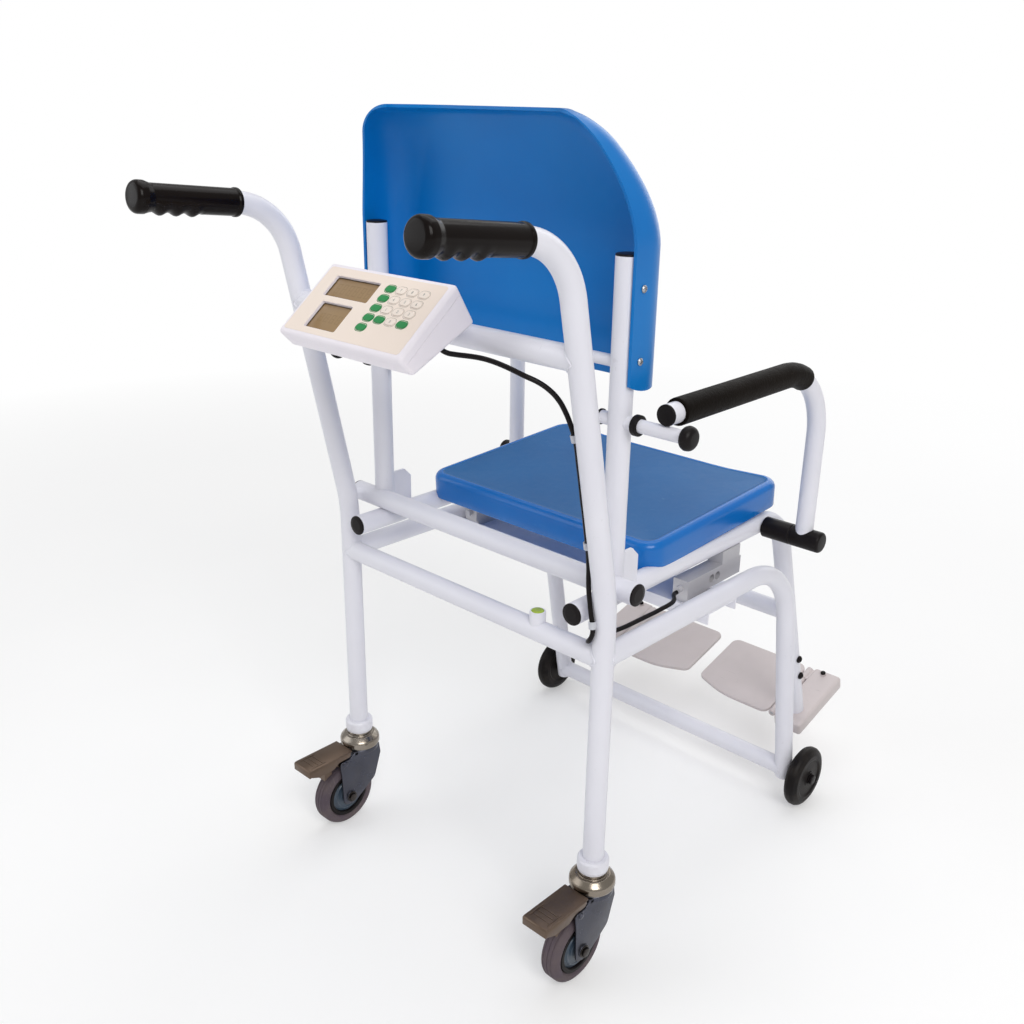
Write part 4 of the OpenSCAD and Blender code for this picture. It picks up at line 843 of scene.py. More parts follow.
def oval(length: float, width: float, steps: int = 10) -> list[Flat]:
    """The outline of a flat oval along X, in the units given."""
    r = width / 2
    out = []
    for centre, start in ((length / 2 - r, -90.0), (r - length / 2, 90.0)):
        for k in range(steps + 1):
            a = math.radians(start + 180.0 * k / steps)
            out.append((centre + r * math.cos(a), r * math.sin(a)))
    return out


def soft_rect(x0: float, y0: float, x1: float, y1: float, r: float,
              steps: int = 5) -> list[Flat]:
    """The outline of a rectangle with round corners."""
    out = []
    for cx, cy, start in ((x1 - r, y1 - r, 0), (x0 + r, y1 - r, 90), (x0 + r, y0 + r, 180),
                          (x1 - r, y0 + r, 270)):
        for k in range(steps + 1):
            a = math.radians(start + 90.0 * k / steps)
            out.append((cx + r * math.cos(a), cy + r * math.sin(a)))
    return out


# The setting


@dataclass
class Setting:
    """Camera, lamps, world and floor.

    Attributes:
        eye: Camera place in millimetres from the upright line.
        lens: Focal length for a 36 mm wide sensor.
        forward: Where the camera looks.
        roll: Turn of the picture in degrees.
    """

    eye: Point = (-939.2, 915.6, 1090.6)
    lens: float = 38.04
    forward: Point = (0.6358, -0.6819, -0.3616)
    roll: float = 0.8

    def camera(self) -> None:
        """Makes the camera at the photograph's place."""
        data = bpy.data.cameras.new("photo_camera")
        data.lens = self.lens
        data.sensor_width = 36.0
        data.sensor_fit = "HORIZONTAL"
        data.clip_start = 0.02
        data.clip_end = 60.0
        made = placed("photo_camera", data)
        forward = Vector(self.forward).normalized()
        right = Vector((forward.y, -forward.x, 0.0)).normalized()
        up = right.cross(forward)
        turn = math.radians(self.roll)
        right, up = (right * math.cos(turn) + up * math.sin(turn),
                     up * math.cos(turn) - right * math.sin(turn))
        basis = Matrix((right, up, -forward)).transposed().to_4x4()
        made.matrix_world = Matrix.Translation(at(*self.eye)) @ basis
        bpy.context.scene.camera = made

    def lamp(self, name: str, place: Point, aim: Point, size: float, power: float, colour: Colour) -> None:
        """Adds a soft square lamp.

        Args:
            name: The lamp's name.
            place: Its place in metres.
            aim: The point that it lights.
            size: Side of the square in metres.
            power: Power in watts.
            colour: Its colour.
        """
        data = bpy.data.lights.new(name, "AREA")
        data.shape = "SQUARE"
        data.size = size
        data.energy = power
        data.color = colour
        made = placed(name, data)
        made.matrix_world = facing(Vector(place), Vector(place) - Vector(aim))

    def light(self) -> None:
        """Makes the lamps and the world."""
        middle = (0.0, 0.0, 0.6)
        self.lamp("key_lamp", (-2.6, 1.7, 3.0), middle, 2.0, 84.0, (1.0, 0.985, 0.965))
        self.lamp("fill_lamp", (2.4, 2.6, 2.0), middle, 2.6, 30.0, (0.95, 0.97, 1.0))
        self.lamp("top_lamp", (0.4, -0.6, 3.6), middle, 3.0, 40.0, (1.0, 1.0, 1.0))
        self.lamp("front_lamp", (0.5, -3.2, 1.8), middle, 2.4, 26.0, (0.98, 0.99, 1.0))
        world = bpy.data.worlds.new("studio")
        world.use_nodes = True
        bpy.context.scene.world = world
        nodes = Nodes(world.node_tree)
        back = world.node_tree.nodes["Background"]
        path = nodes.add("LightPath")
        seen = nodes.math("MAXIMUM", path.outputs["Is Camera Ray"], path.outputs["Is Transmission Ray"])
        seen = nodes.math("MAXIMUM", seen, nodes.math("MULTIPLY", path.outputs["Is Glossy Ray"], 0.3))
        level = nodes.math("ADD", nodes.math("MULTIPLY", seen, 0.66), 0.34)
        world.node_tree.links.new(level, back.inputs["Strength"])
        back.inputs["Color"].default_value = (1.0, 1.0, 1.0, 1.0)

    def floor(self) -> None:
        """Makes the pale floor, which keeps the object's shadow."""
        bm = bmesh.new()
        bmesh.ops.create_grid(bm, x_segments=1, y_segments=1, size=14.0,
                              matrix=Matrix.Translation((0.0, 0.0, -0.0006)))
        mesh = mesh_of(bm, "floor")
        made = placed("floor", mesh)
        light, dark = (0.97, 0.97, 0.972), (0.955, 0.955, 0.958)
        paper, nodes, shader = new_material("floor_paper", light)
        links = paper.node_tree.links
        cloud = nodes.ramp(nodes.noise(2.0, 2.0), 0.3, 0.7)
        links.new(nodes.mix(cloud, light, dark), shader.inputs["Base Color"])
        shader.inputs["Roughness"].default_value = 0.85
        shader.inputs["Specular IOR Level"].default_value = 0.1
        glow = nodes.add("Emission", {"Strength": 1.0})
        path = nodes.add("LightPath")
        seen = nodes.math("MAXIMUM", path.outputs["Is Camera Ray"],
                          nodes.math("MAXIMUM", path.outputs["Is Glossy Ray"],
                                     path.outputs["Is Transmission Ray"]))
        away = nodes.add("VectorMath", {0: nodes.add("TexCoord").outputs["Object"]}, operation="LENGTH")
        share = nodes.math("MULTIPLY", seen, nodes.ramp(away.outputs["Value"], 1.3, 3.2, 0.3, 1.0))
        both = nodes.add("MixShader", {0: share, 1: shader.outputs[0], 2: glow.outputs[0]})
        links.new(both.outputs[0], paper.node_tree.nodes["Material Output"].inputs["Surface"])
        mesh.materials.append(paper)

    def build(self) -> None:
        """Makes everything that isn't the object."""
        bpy.context.scene.view_settings.view_transform = "Standard"
        self.camera()
        self.light()
        self.floor()


# Frame


@dataclass
class BaseFrame:
    """Powder coat, weld beads and end plugs of the tube frame."""

    maker: Maker
    post_y: float = -45.0
    peg_z: float = 739.7
    painted: tuple[str, ...] = (
        "upright_left", "upright_right", "side_rail_left", "side_rail_right", "upper_crossbar",
        "lower_crossbar", "front_crossbar", "cell_channel", "beam_left", "beam_right", "seat_crossbars",
        "back_frame", "armrest_tube_left", "armrest_tube_right")

    def saddle(self, end: Vector, along: Vector, main: Vector, r: float, big: float,
               bead: float) -> Mesh:
        """A weld bead where a tube meets the side of another.

        Args:
            end: Point on the main tube's axis that the branch's axis meets, in metres.
            along: Direction of the branch away from the main tube.
            main: Direction of the main tube.
            r: Radius of the branch in millimetres.
            big: Radius of the main tube.
            bead: Radius of the bead.

        Returns:
            The bead's mesh.
        """
        along, main = along.normalized(), main.normalized()
        side = main.cross(along).normalized()
        flat = side.cross(along).normalized()
        points = []
        for k in range(40):
            a = math.tau * k / 40
            across = side * (r * math.cos(a)) + flat * (r * math.sin(a))
            radial = across - main * across.dot(main)
            lift = along - main * along.dot(main)
            b = radial.dot(lift)
            c = radial.length_squared - big * big
            t = (-b + math.sqrt(max(0.0, b * b - lift.length_squared * c))) / lift.length_squared
            t = max(t, 0.6)
            points.append(end + (across + along * (t + 0.2 * bead)) / 1000.0)
        return swept(points, bead / 1000.0, sides=8, closed=True)

    def welds(self) -> None:
        """Adds the weld beads of the joints that show."""
        beads = []
        up, back = Vector((0.0, 0.0, 1.0)), Vector((0.0, 1.0, 0.0))
        lean, front, hanger = (Vector((0.0, math.sin(a), math.cos(a))) for a in
                               (math.radians(d) for d in (UPRIGHT_LEAN, FRONT_LEAN, HANGER_LEAN)))
        ahead = Vector((0.0, -1.0, -math.tan(math.radians(0.7))))
        bar_y = (833.0 - 533.0) * math.tan(math.radians(UPRIGHT_LEAN))
        for side in Side:
            s = side.value
            inward = Vector((-s, 0.0, 0.0))
            for x, y, z, along, main, r, bead in (
                    (LEG_HALF, bar_y, 833, inward, lean, TUBE_R, 1.5),
                    (LEG_HALF, 0, 458, inward, up, TUBE_R, 1.5),
                    (LEG_HALF, 0, 459, ahead, up, TUBE_R, 1.5),
                    (LEG_HALF, -502.2, 58, inward, -front, TUBE_R, 1.5),
                    (BEAM_HALF, -524.54, 322, inward, -hanger, TUBE_R, 1.4),
                    (POST_HALF, self.post_y, 808, inward, up, 7, 1.3),
                    (POST_HALF, self.post_y, self.peg_z, -inward, up, 8, 1.3),
                    (BEAM_HALF, ROD_Y, BEAM_Z, inward, back, 10, 1.3)):
                beads.append(self.saddle(at(s * x, y, z), along, main, r, TUBE_R, bead))
        self.maker.piece("weld_beads", joined(beads), "base", PAINT, sharp=60.0)

    def plug(self, bm: BMesh, place: Vector, out: Vector, r: float = TUBE_R) -> None:
        """Adds a domed black tube plug with a rim."""
        shape = lathe(bm, rounded([(r - 2.2, -8, 0), (r - 1.6, -0.2, 0), (r, -0.2, 0), (r, 2.0, 1.2),
                                   (r - 5.5, 3.0, 1.5), (0, 3.0, 0)]), 40)
        transformed(bm, facing(place, out), shape)

    def plugs(self) -> None:
        """Replaces the plugs, collars and knobs."""
        bm = bmesh.new()
        for side in Side:
            s = side.value
            out = Vector((s, 0, 0))
            self.plug(bm, at(s * POST_HALF, self.post_y, 927), Vector((0, 0, 1)))
            self.plug(bm, at(s * BEAM_HALF, 16, BEAM_Z), Vector((0, 1, 0)))
            self.plug(bm, at(s * 257, -35, 537), out)
            cap = lathe(bm, rounded([(8.2, 0, 0), (9.5, 0, 0), (9.5, 2.9, 1.2), (0, 3.0, 0)]), 32)
            transformed(bm, facing(at(s * 185, self.post_y, self.peg_z), -out), cap)
            collar = lathe(bm, rounded([(8.05, 0, 0), (12.5, 0, 1.4), (12.5, 8, 1.4), (8.05, 8, 0)]), 36)
            transformed(bm, facing(at(s * 233, self.post_y, self.peg_z), out), collar)
            knob = lathe(bm, rounded([(8.05, 0, 0), (12.4, 0, 2.5), (14.3, 4.2, 2.5), (13.6, 14, 7.5),
                                      (0, 14, 0)], 7), 40)
            transformed(bm, facing(at(s * 300.5, self.post_y, self.peg_z), out), knob)
        self.maker.piece("end_plugs_moulded", bm, "base", BLACK, ["end_plugs"])

    def collars(self) -> None:
        """Replaces the white collars above the castors with rounded ones."""
        bm = bmesh.new()
        for side in Side:
            shape = lathe(bm, rounded([(6.1, 7, 0), (19.8, 7, 1.8), (21, 12, 1.5), (21, 23.5, 1.2),
                                       (19.2, 26.5, 1.8), (14.05, 26.5, 0), (14.05, 10, 0), (6.1, 10, 0),
                                       (6.1, 7, 0)]), 48)
            transformed(bm, Matrix.Translation(at(side.value * LEG_HALF, 0, 143)), shape)
        self.maker.piece("castor_collars_moulded", bm, "base", PAINT, ["caster_collars"])

    def build(self) -> None:
        """Dresses the frame and adds its small pieces."""
        for node in self.painted:
            self.maker.dress(node, PAINT)
        self.maker.dress("load_cells", CELL)
        self.maker.dress("circuit_board", BOARD)
        self.maker.dress("battery_pack", BLACK)
        self.welds()
        self.plugs()
        self.collars()


# Seat and back


@dataclass
class BackShell:
    """The moulded back with side flanges and a curled top edge.

    Attributes:
        maker: Makes the piece.
        half: Half width below the curl.
        panel: Place of the panel's front below the curl.
        flange: Place of the flanges' rear edge below the curl.
        thick: Wall.
        bottom: Height of the lower edge.
        curl_from: Height where the walls start to lean.
        top: Height at which the lean is whole.
        corner: Radius of the upright corners.
        peak: Height of the upper edge.
        roll: How far below the peak the sides start to round over.
        lip: How far below the peak the panel's edge starts to turn in.
        narrow: Half width lost over the lean.
        shoulder: Half width lost over the rounding.
        lean_panel: How far the panel leans to the rear.
        lean_flange: How far the flanges lean to the rear.
        hook: How far the panel's edge turns to the rear at the peak.
        tuck: How far the flanges come forward at the peak.
    """

    maker: Maker
    half: float = BACK_HALF
    panel: float = -107.0
    flange: float = -36.0
    thick: float = 4.0
    bottom: float = 775.0
    curl_from: float = 935.0
    top: float = 1071.0
    corner: float = 42.0
    peak: float = 1075.5
    roll: float = 34.0
    lip: float = 9.0
    narrow: float = 54.0
    shoulder: float = 32.0
    lean_panel: float = 50.0
    lean_flange: float = 40.0
    hook: float = 8.0
    tuck: float = 14.0

    def near_peak(self, z: float, reach: float) -> float:
        """0 up to a reach below the peak, then rising to 1 at the peak."""
        return min(1.0, max(0.0, (z - self.peak) / reach + 1))

    def row(self, z: float) -> tuple[float, float, float, float, float]:
        """Half width, panel, flange edge, corner radius and the corner's stretch along X at a height."""
        share = max(0.0, z - self.curl_from) / (self.top - self.curl_from)
        round_over, turn_in = (1 - math.sqrt(1 - self.near_peak(z, reach) ** 2)
                               for reach in (self.roll, self.lip))
        half = self.half - self.narrow * share ** 1.7 - self.shoulder * round_over
        panel = self.panel + self.lean_panel * share ** 2 + self.hook * turn_in
        flange = self.flange + self.lean_flange * share ** 2 - self.tuck * round_over
        radius = min(self.corner + 8.0 * share, flange - panel - 1.0)
        return half, panel, flange, radius, 1.0 + 0.8 * share ** 2

    def half_outline(self, half: float, panel: float, flange: float, radius: float,
                     stretch: float) -> list[Flat]:
        """Half of a section, from the flange's rear edge to the middle of the panel."""
        points = [(half, flange + (panel + radius - flange) * k / 4) for k in range(4)]
        wide = radius * stretch
        points += [(half - wide + wide * math.cos(a), panel + radius - radius * math.sin(a))
                   for a in (math.pi / 2 * k / 12 for k in range(13))]
        return points + [((half - wide) * (1 - k / 8), panel) for k in range(1, 9)]

    def ring(self, half: float, panel: float, flange: float, radius: float, stretch: float, z: float,
             turn: float = 0.0) -> list[Vector]:
        """The closed section at a level: round the outside, then back along the inside.

        Args:
            half: Half width.
            panel: The panel's front.
            flange: The flange's rear edge.
            radius: Corner radius.
            stretch: The corner's stretch along X.
            z: Height of the outer edge.
            turn: Turn of the wall towards the rear, in degrees.

        Returns:
            Points in the model's frame, in metres.
        """
        wall, drop = (self.thick * f(math.radians(turn)) for f in (math.cos, math.sin))
        points = []
        for inset, level, way in ((0.0, z, 1), (wall, z - drop, -1)):
            side = [(x, y, level + self.trim(y - flange, z)) for x, y in
                    self.half_outline(half - inset, panel + inset, flange, max(radius - inset, 4.0), stretch)]
            whole = side + [(-x, y, level_) for x, y, level_ in reversed(side[:-1])]
            points += whole[::way]
        return [at(*p) for p in points]

    def trim(self, rear: float, z: float) -> float:
        """How much the lower rear corner of the flange is lifted."""
        low = max(0.0, 1 - (z - self.bottom) / 34.0)
        return 9.0 * low * max(0.0, 1 + rear / 34.0) ** 2

    def build(self) -> None:
        """Raises the closed section level by level, then rolls its top edge to the rear."""
        levels = [self.bottom + (self.curl_from - self.bottom) * k / 12 for k in range(12)]
        start = self.peak - self.roll
        levels += [self.curl_from + (start - self.curl_from) * k / 14 for k in range(14)]
        levels += [start + self.roll * math.sin(math.pi / 2 * k / 16) for k in range(17)]
        rings = []
        for z in levels:
            steep = math.asin(self.near_peak(z, self.lip))
            rings.append(self.ring(*self.row(z), z, math.degrees(steep)))
        bm = bmesh.new()
        made = skin(bm, rings)
        for ends in (made[0], made[-1]):
            count = len(ends) // 2
            outer, inner = ends[:count], ends[count:][::-1]
            for k in range(count - 1):
                bm.faces.new((outer[k], outer[k + 1], inner[k + 1], inner[k]))
        shell = self.maker.piece("back_shell_moulded", bm, "base", SHELL_BLUE, ["back_shell"], sharp=50.0)
        edge = shell.modifiers.new("edge", "BEVEL")
        edge.width = 0.0012
        edge.segments = 3
        edge.limit_method = "ANGLE"
        edge.angle_limit = math.radians(50)


@dataclass
class SeatShell:
    """The moulded seat with a dished, grained top, a smooth rim and a skirt.

    Attributes:
        maker: Makes the piece.
        width: Size along X.
        depth: Size along Y.
        height: Height of the skirt.
        corner: Radius of the upright corners.
        rear: The rear edge's place.
        rear_z: Height of the rear edge.
        tilt: Rise towards the front in degrees.
        edge: Width of the smooth rim.
        round_r: Radius from the top into the skirt.
        dip: How much lower the middle of the front edge is than its corners.
    """

    maker: Maker
    width: float = 420.0
    depth: float = 320.0
    height: float = 38.0
    corner: float = 30.0
    rear: float = -127.0
    rear_z: float = 555.0
    tilt: float = 2.8
    edge: float = 12.0
    round_r: float = 10.5
    dip: float = 5.0

    def ring(self, inset: float, z: float) -> list[Vector]:
        """A rounded rectangle inside the seat's outline, with the front dip in it."""
        w, d = self.width / 2 - inset, self.depth / 2 - inset
        r = max(self.corner - inset, 7.0)
        flat: list[Flat] = []
        corners = ((w - r, d - r, 0), (r - w, d - r, 90), (r - w, r - d, 180), (w - r, r - d, 270))
        for i, (cx, cy, start) in enumerate(corners):
            for k in range(9):
                a = math.radians(start + 90.0 * k / 8)
                flat.append((cx + r * math.cos(a), cy + r * math.sin(a)))
            nx, ny, after = corners[(i + 1) % 4]
            a = math.radians(after)
            end = (nx + r * math.cos(a), ny + r * math.sin(a))
            last = flat[-1]
            flat += [(last[0] + (end[0] - last[0]) * k / 12, last[1] + (end[1] - last[1]) * k / 12)
                     for k in range(1, 12)]
        points = []
        for x, y in flat:
            across = min(1.0, max(0.0, (abs(x) / 210.0 - 0.5) / 0.42))
            ahead = min(1.0, max(0.0, (-y - 30.0) / 130.0))
            low = self.dip * (1 - across * across * (3 - 2 * across)) * ahead ** 2 * max(0.0, 1 + z / 22.0)
            points.append(Vector((x, y - self.depth / 2, z - low)) / 1000.0)
        return points

    def build(self) -> None:
        """Joins rings from the middle of the top over the rim to the skirt's inside."""
        top = [(118.0, -3.6), (88.0, -3.4), (62.0, -3.0), (42.0, -2.3), (28.0, -1.5), (18.0, -0.8),
               (self.edge + 0.6, -0.5)]
        rim = [(self.edge, -0.05), (self.round_r, 0.0)]
        rim += [(self.round_r * (1 - math.sin(a)), self.round_r * (math.cos(a) - 1))
                for a in (math.pi / 2 * k / 7 for k in range(1, 8))]
        low = -self.height
        rim += [(0.0, -18.0), (0.0, -27.0), (0.0, low + 1.2), (0.4, low + 0.4), (1.2, low), (2.8, low),
                (3.6, low + 0.4), (4.0, low + 1.2), (4.0, -16.0), (6.0, -10.0), (11.0, -7.6), (60.0, -8.0),
                (110.0, -8.4)]
        bm = bmesh.new()
        made = skin(bm, [self.ring(*pair) for pair in top + rim])
        bm.faces.new(made[0])
        bm.faces.new(made[-1])
        grained = {vert for ring in made[:len(top)] for vert in ring}
        for face in bm.faces:
            face.material_index = 0 if all(vert in grained for vert in face.verts) else 1
        transformed(bm, Matrix.Translation(at(0, self.rear, self.rear_z)) @
                    Matrix.Rotation(math.radians(-self.tilt), 4, "X"))
        # The grained top takes the greyer blue, a painted grazing sheen; the rim and skirt take the plain seat
        # blue.
        self.maker.piece("seat_shell_moulded", bm, "base", SEAT_TOP_SHEEN, ["seat_shell"], sharp=50.0,
                         others=[SEAT_RIM])


# Grips and armrests


@dataclass
class HandGrips:
    """Glossy grips with finger bumps and a bulb end."""

    maker: Maker
    rise: float = math.radians(6.0)
    start_y: float = 89.70 + 62.03 * math.cos(rise)
    start_z: float = 955.0 + 62.03 * math.sin(rise)
    bumps: tuple[float, ...] = (62.0, 83.0, 104.0)

    def build(self) -> None:
        """Lathes a grip and presses the finger bumps out of its underside."""
        for side in Side:
            bm = bmesh.new()
            profile = rounded([(14.1, 0.3, 0), (17.6, 0.3, 1.5), (17.6, 4.5, 1.2), (16.5, 6.5, 2.0),
                               (16.5, 117, 8.0), (19.0, 125, 5.0), (19.0, 138, 7.0), (0, 138, 0)], 6)
            fine: list[Flat] = []
            for (r0, z0), (r1, z1) in zip(profile, profile[1:]):
                parts = max(1, int(abs(z1 - z0) / 2.2))
                fine += [(r0 + (r1 - r0) * k / parts, z0 + (z1 - z0) * k / parts) for k in range(parts)]
            fine.append(profile[-1])
            verts = lathe(bm, fine, 56)
            for vert in verts:
                angle = math.atan2(vert.co.y, vert.co.x)
                under = max(0.0, math.cos(angle)) ** 1.6
                z = vert.co.z * 1000
                push = sum(math.exp(-((z - b) / 6.2) ** 2) for b in self.bumps)
                reach = 4.4 * push * under - 0.9 * under * (1.0 if 50 < z < 116 else 0.0)
                if vert.co.xy.length > 0.012:
                    vert.co.x += reach / 1000 * math.cos(angle)
                    vert.co.y += reach / 1000 * math.sin(angle) * 0.35
            turn = (Matrix.Rotation(self.rise - math.pi / 2, 4, "X") @
                    Matrix.Rotation(math.radians(90.0), 4, "Z"))
            transformed(bm, Matrix.Translation(at(side.value * LEG_HALF, self.start_y, self.start_z)) @ turn)
            stands_for = ["hand_grips"] if side is Side.LEFT else []
            self.maker.piece("hand_grip_" + side.word, bm, "base", GRIP, stands_for, sharp=50.0)


@dataclass
class Armrests:
    """Foam pads and black fittings of the swing-up armrests."""

    maker: Maker
    x: float = 277.0
    z: float = 760.5
    bend: float = 100.0
    pad_r: float = 16.25
    pad_from: float = -61.0
    pad_turn: float = 28.0

    def pad(self, side: Side) -> None:
        """A foam sleeve along the tube and into its bend, with rounded ends."""
        straight = self.pad_from - ROD_Y - self.bend
        whole = straight + self.bend * math.radians(self.pad_turn)
        rim = 2.2
        close = [0.0, 0.06, 0.25, 0.6, 1.1, 1.7, rim]
        stops = (close + [rim + (whole - 2 * rim) * k / 60 for k in range(1, 60)] +
                 [whole - c for c in reversed(close)])
        points, shares = [], []
        for stop in stops:
            a = max(0.0, stop - straight) / self.bend
            y = self.pad_from - stop if a == 0.0 else ROD_Y + self.bend * (1 - math.sin(a))
            points.append(at(side.value * self.x, y, self.z + self.bend * (math.cos(a) - 1)))
            off = max(0.0, 1 - min(stop, whole - stop) / rim)
            shares.append(1 - rim * (1 - math.sqrt(1 - off * off)) / self.pad_r)
        mesh = swept(points, self.pad_r / 1000, sides=40, shares=shares)
        foam = self.maker.adopt("arm_pad_foam_" + side.word, mesh, "armrest_" + side.word, PAD,
                                ["arm_pad_" + side.word], sharp=60.0)

    def fittings(self, side: Side) -> None:
        """The rear cap and the pivot sleeve with its rounded end."""
        s = side.value
        bm = bmesh.new()
        cap = lathe(bm, rounded([(11.0, -6, 0), (11.0, 0, 0), (12.5, 0, 0), (12.5, 2.9, 1.6), (0, 3.0, 0)]), 36)
        transformed(bm, facing(at(s * self.x, -43, self.z), Vector((0, 1, 0))), cap)
        pivot = lathe(bm, rounded([(10.05, 0, 0), (15.0, 0, 1.2), (15.0, 42.5, 0.5), (14.2, 43.3, 0.4),
                                   (14.2, 44.3, 0.4), (15.0, 45.1, 0.5), (15.0, 90.0, 4.2),
                                   (0.0, 90.0, 0)]), 44)
        transformed(bm, facing(at(s * 216, ROD_Y, BEAM_Z), Vector((s, 0, 0))), pivot)
        self.maker.piece("arm_fittings_moulded_" + side.word, bm, "armrest_" + side.word, BLACK,
                         ["arm_fittings_" + side.word])

    def build(self) -> None:
        """Makes both armrests' pieces."""
        for side in Side:
            self.pad(side)
            self.fittings(side)


# Castors and wheels


@dataclass
class Castors:
    """Pressed zinc forks with a double-race head, tyres, hubs and brake pedals.

    Attributes:
        maker: Makes the pieces.
        trail: Distance of the axle behind the swivel's axis.
        tyre_w: Width of the tyre.
        gap: Width between the fork's cheeks.
        sheet: Thickness of a cheek.
        ear: Place and height of the pedal's pin.
        brake_turn: Turn of the pedal that brings its shoe to the tyre, in degrees.
        shoe_r: Radius of the shoe's hollow.
    """

    maker: Maker
    trail: float = 37.0
    tyre_w: float = 28.0
    gap: float = 34.0
    sheet: float = 3.0
    ear: Flat = (46.0, 113.0)
    brake_turn: float = 12.0
    shoe_r: float = 50.6

    def centre(self, side: Side, y: float = 0.0, z: float = 0.0) -> Vector:
        """A place on the castor's middle plane."""
        return at(side.value * LEG_HALF, y, z)

    def across(self, side: Side, s: int, place: Flat, x: float) -> Matrix:
        """Stands a shape drawn along +Z on the castor's side s, at a (y, z) place x from its middle plane."""
        return facing(self.centre(side, *place) + Vector((x / 1000, 0, 0)), Vector((s, 0, 0)))

    def upright(self, side: Side, x: float) -> Matrix:
        """Stands an outline drawn in XY upright, x from the castor's middle plane."""
        return Matrix.Translation(self.centre(side) + Vector((x / 1000, 0, 0))) @ TO_YZ

    def cheek(self) -> list[Flat]:
        """The outline of a fork cheek in the YZ plane."""
        r, a, e = WHEEL_R, self.trail, self.ear
        corners = [(-22, 124, 4), (-25, 104, 8), (-12, 64, 16), (a - 14.5, r - 9, 8), (a, r - 15.0, 14),
                   (a + 14.5, r - 9, 8), (e[0] + 7, e[1] - 22, 16), (e[0] + 9, e[1] + 5, 5),
                   (e[0] - 10, e[1] + 5, 6), (26, 124, 6)]
        loop = corners[-1:] + corners + corners[:1]
        return rounded(loop, 4)[1:-1]

    def fork(self, side: Side) -> None:
        """Head races, top plate and cheeks."""
        bm = bmesh.new()
        head = lathe(bm, rounded([(0, 120, 0), (26.0, 120, 0.5), (26.6, 126.4, 0.6), (29.6, 126.4, 0.8),
                                  (30.6, 129, 1.6), (30.6, 137.5, 7.5), (23.0, 144.6, 3.5), (20.4, 144.6, 0.5),
                                  (20.4, 146.4, 0.8), (17.6, 146.4, 0.5), (17.6, 149.6, 0.6), (6, 149.6, 0),
                                  (6, 180, 1), (0, 180, 0)], 5), 56)
        transformed(bm, Matrix.Translation(self.centre(side)), head)
        self.maker.piece("castor_head_" + side.word, bm, "caster_" + side.word, ZINC,
                         ["caster_fork_" + side.word])
        bm = bmesh.new()
        for s in (-1, 1):
            plate = slab(bm, self.cheek(), self.sheet, 0.9, 3)
            x = s * (self.gap + self.sheet) / 2 - self.sheet / 2
            transformed(bm, self.upright(side, x), plate)
            for y, z, r, h in ((self.trail, WHEEL_R, 9.6, 1.2), (*self.ear, 5.6, 0.9)):
                boss = bar(bm, r, 0, h, (0, 0.6))
                transformed(bm, self.across(side, s, (y, z), s * (self.gap / 2 + self.sheet)), boss)
            rivet = lathe(bm, rounded([(0, 0, 0), (4.2, 0, 0), (4.2, 1.6, 1.2), (0, 2.2, 0)], 3), 20)
            transformed(bm, self.across(side, s, self.ear, s * (self.gap / 2 + self.sheet) + s * 0.8), rivet)
        w = self.gap / 2 + self.sheet
        top = bar(bm, 28.5, 118, 125.6, (1.0, 2.6), 4, 48)
        transformed(bm, Matrix.Translation(self.centre(side)), top)
        top = block(bm, (-w, -8, 118), (w, 28, 124.6), 1.6)
        transformed(bm, Matrix.Translation(self.centre(side)), top)
        pin = bar(bm, 3, -18, 18, (0, 0), 3, 20)
        transformed(bm, self.across(side, 1, self.ear, 0), pin)
        # The pressed fork wears the darker zinc, a painted reflection of dark surroundings.
        self.maker.piece("castor_fork_pressed_" + side.word, bm, "caster_" + side.word, FORK_DARK_REFLECTION)
        self.axle(side)

    def axle(self, side: Side) -> None:
        """The axle with its hexagon head and nut."""
        bm = bmesh.new()
        rod = bar(bm, 4, -25.0, 25.0, (1.0, 1.0), 3, 24)
        transformed(bm, facing(self.centre(side, self.trail, WHEEL_R), Vector((1, 0, 0))), rod)
        for s in (-1, 1):
            washer = lathe(bm, rounded([(4, 0, 0), (8.6, 0, 0.3), (8.6, 1.2, 0.4), (4, 1.2, 0)], 2), 28)
            base = self.centre(side, self.trail, WHEEL_R) + Vector((s * 0.0212, 0, 0))
            transformed(bm, facing(base, Vector((s, 0, 0))), washer)
            hexagon = [(6.9 * math.cos(math.tau * k / 6), 6.9 * math.sin(math.tau * k / 6)) for k in range(6)]
            head = slab(bm, hexagon, 3.6, 0.7, 2)
            transformed(bm, facing(base + Vector((s * 0.0012, 0, 0)), Vector((s, 0, 0)), 11.0 + 20 * s), head)
        self.maker.piece("castor_axle_" + side.word, bm, "caster_" + side.word, DARK_STEEL)

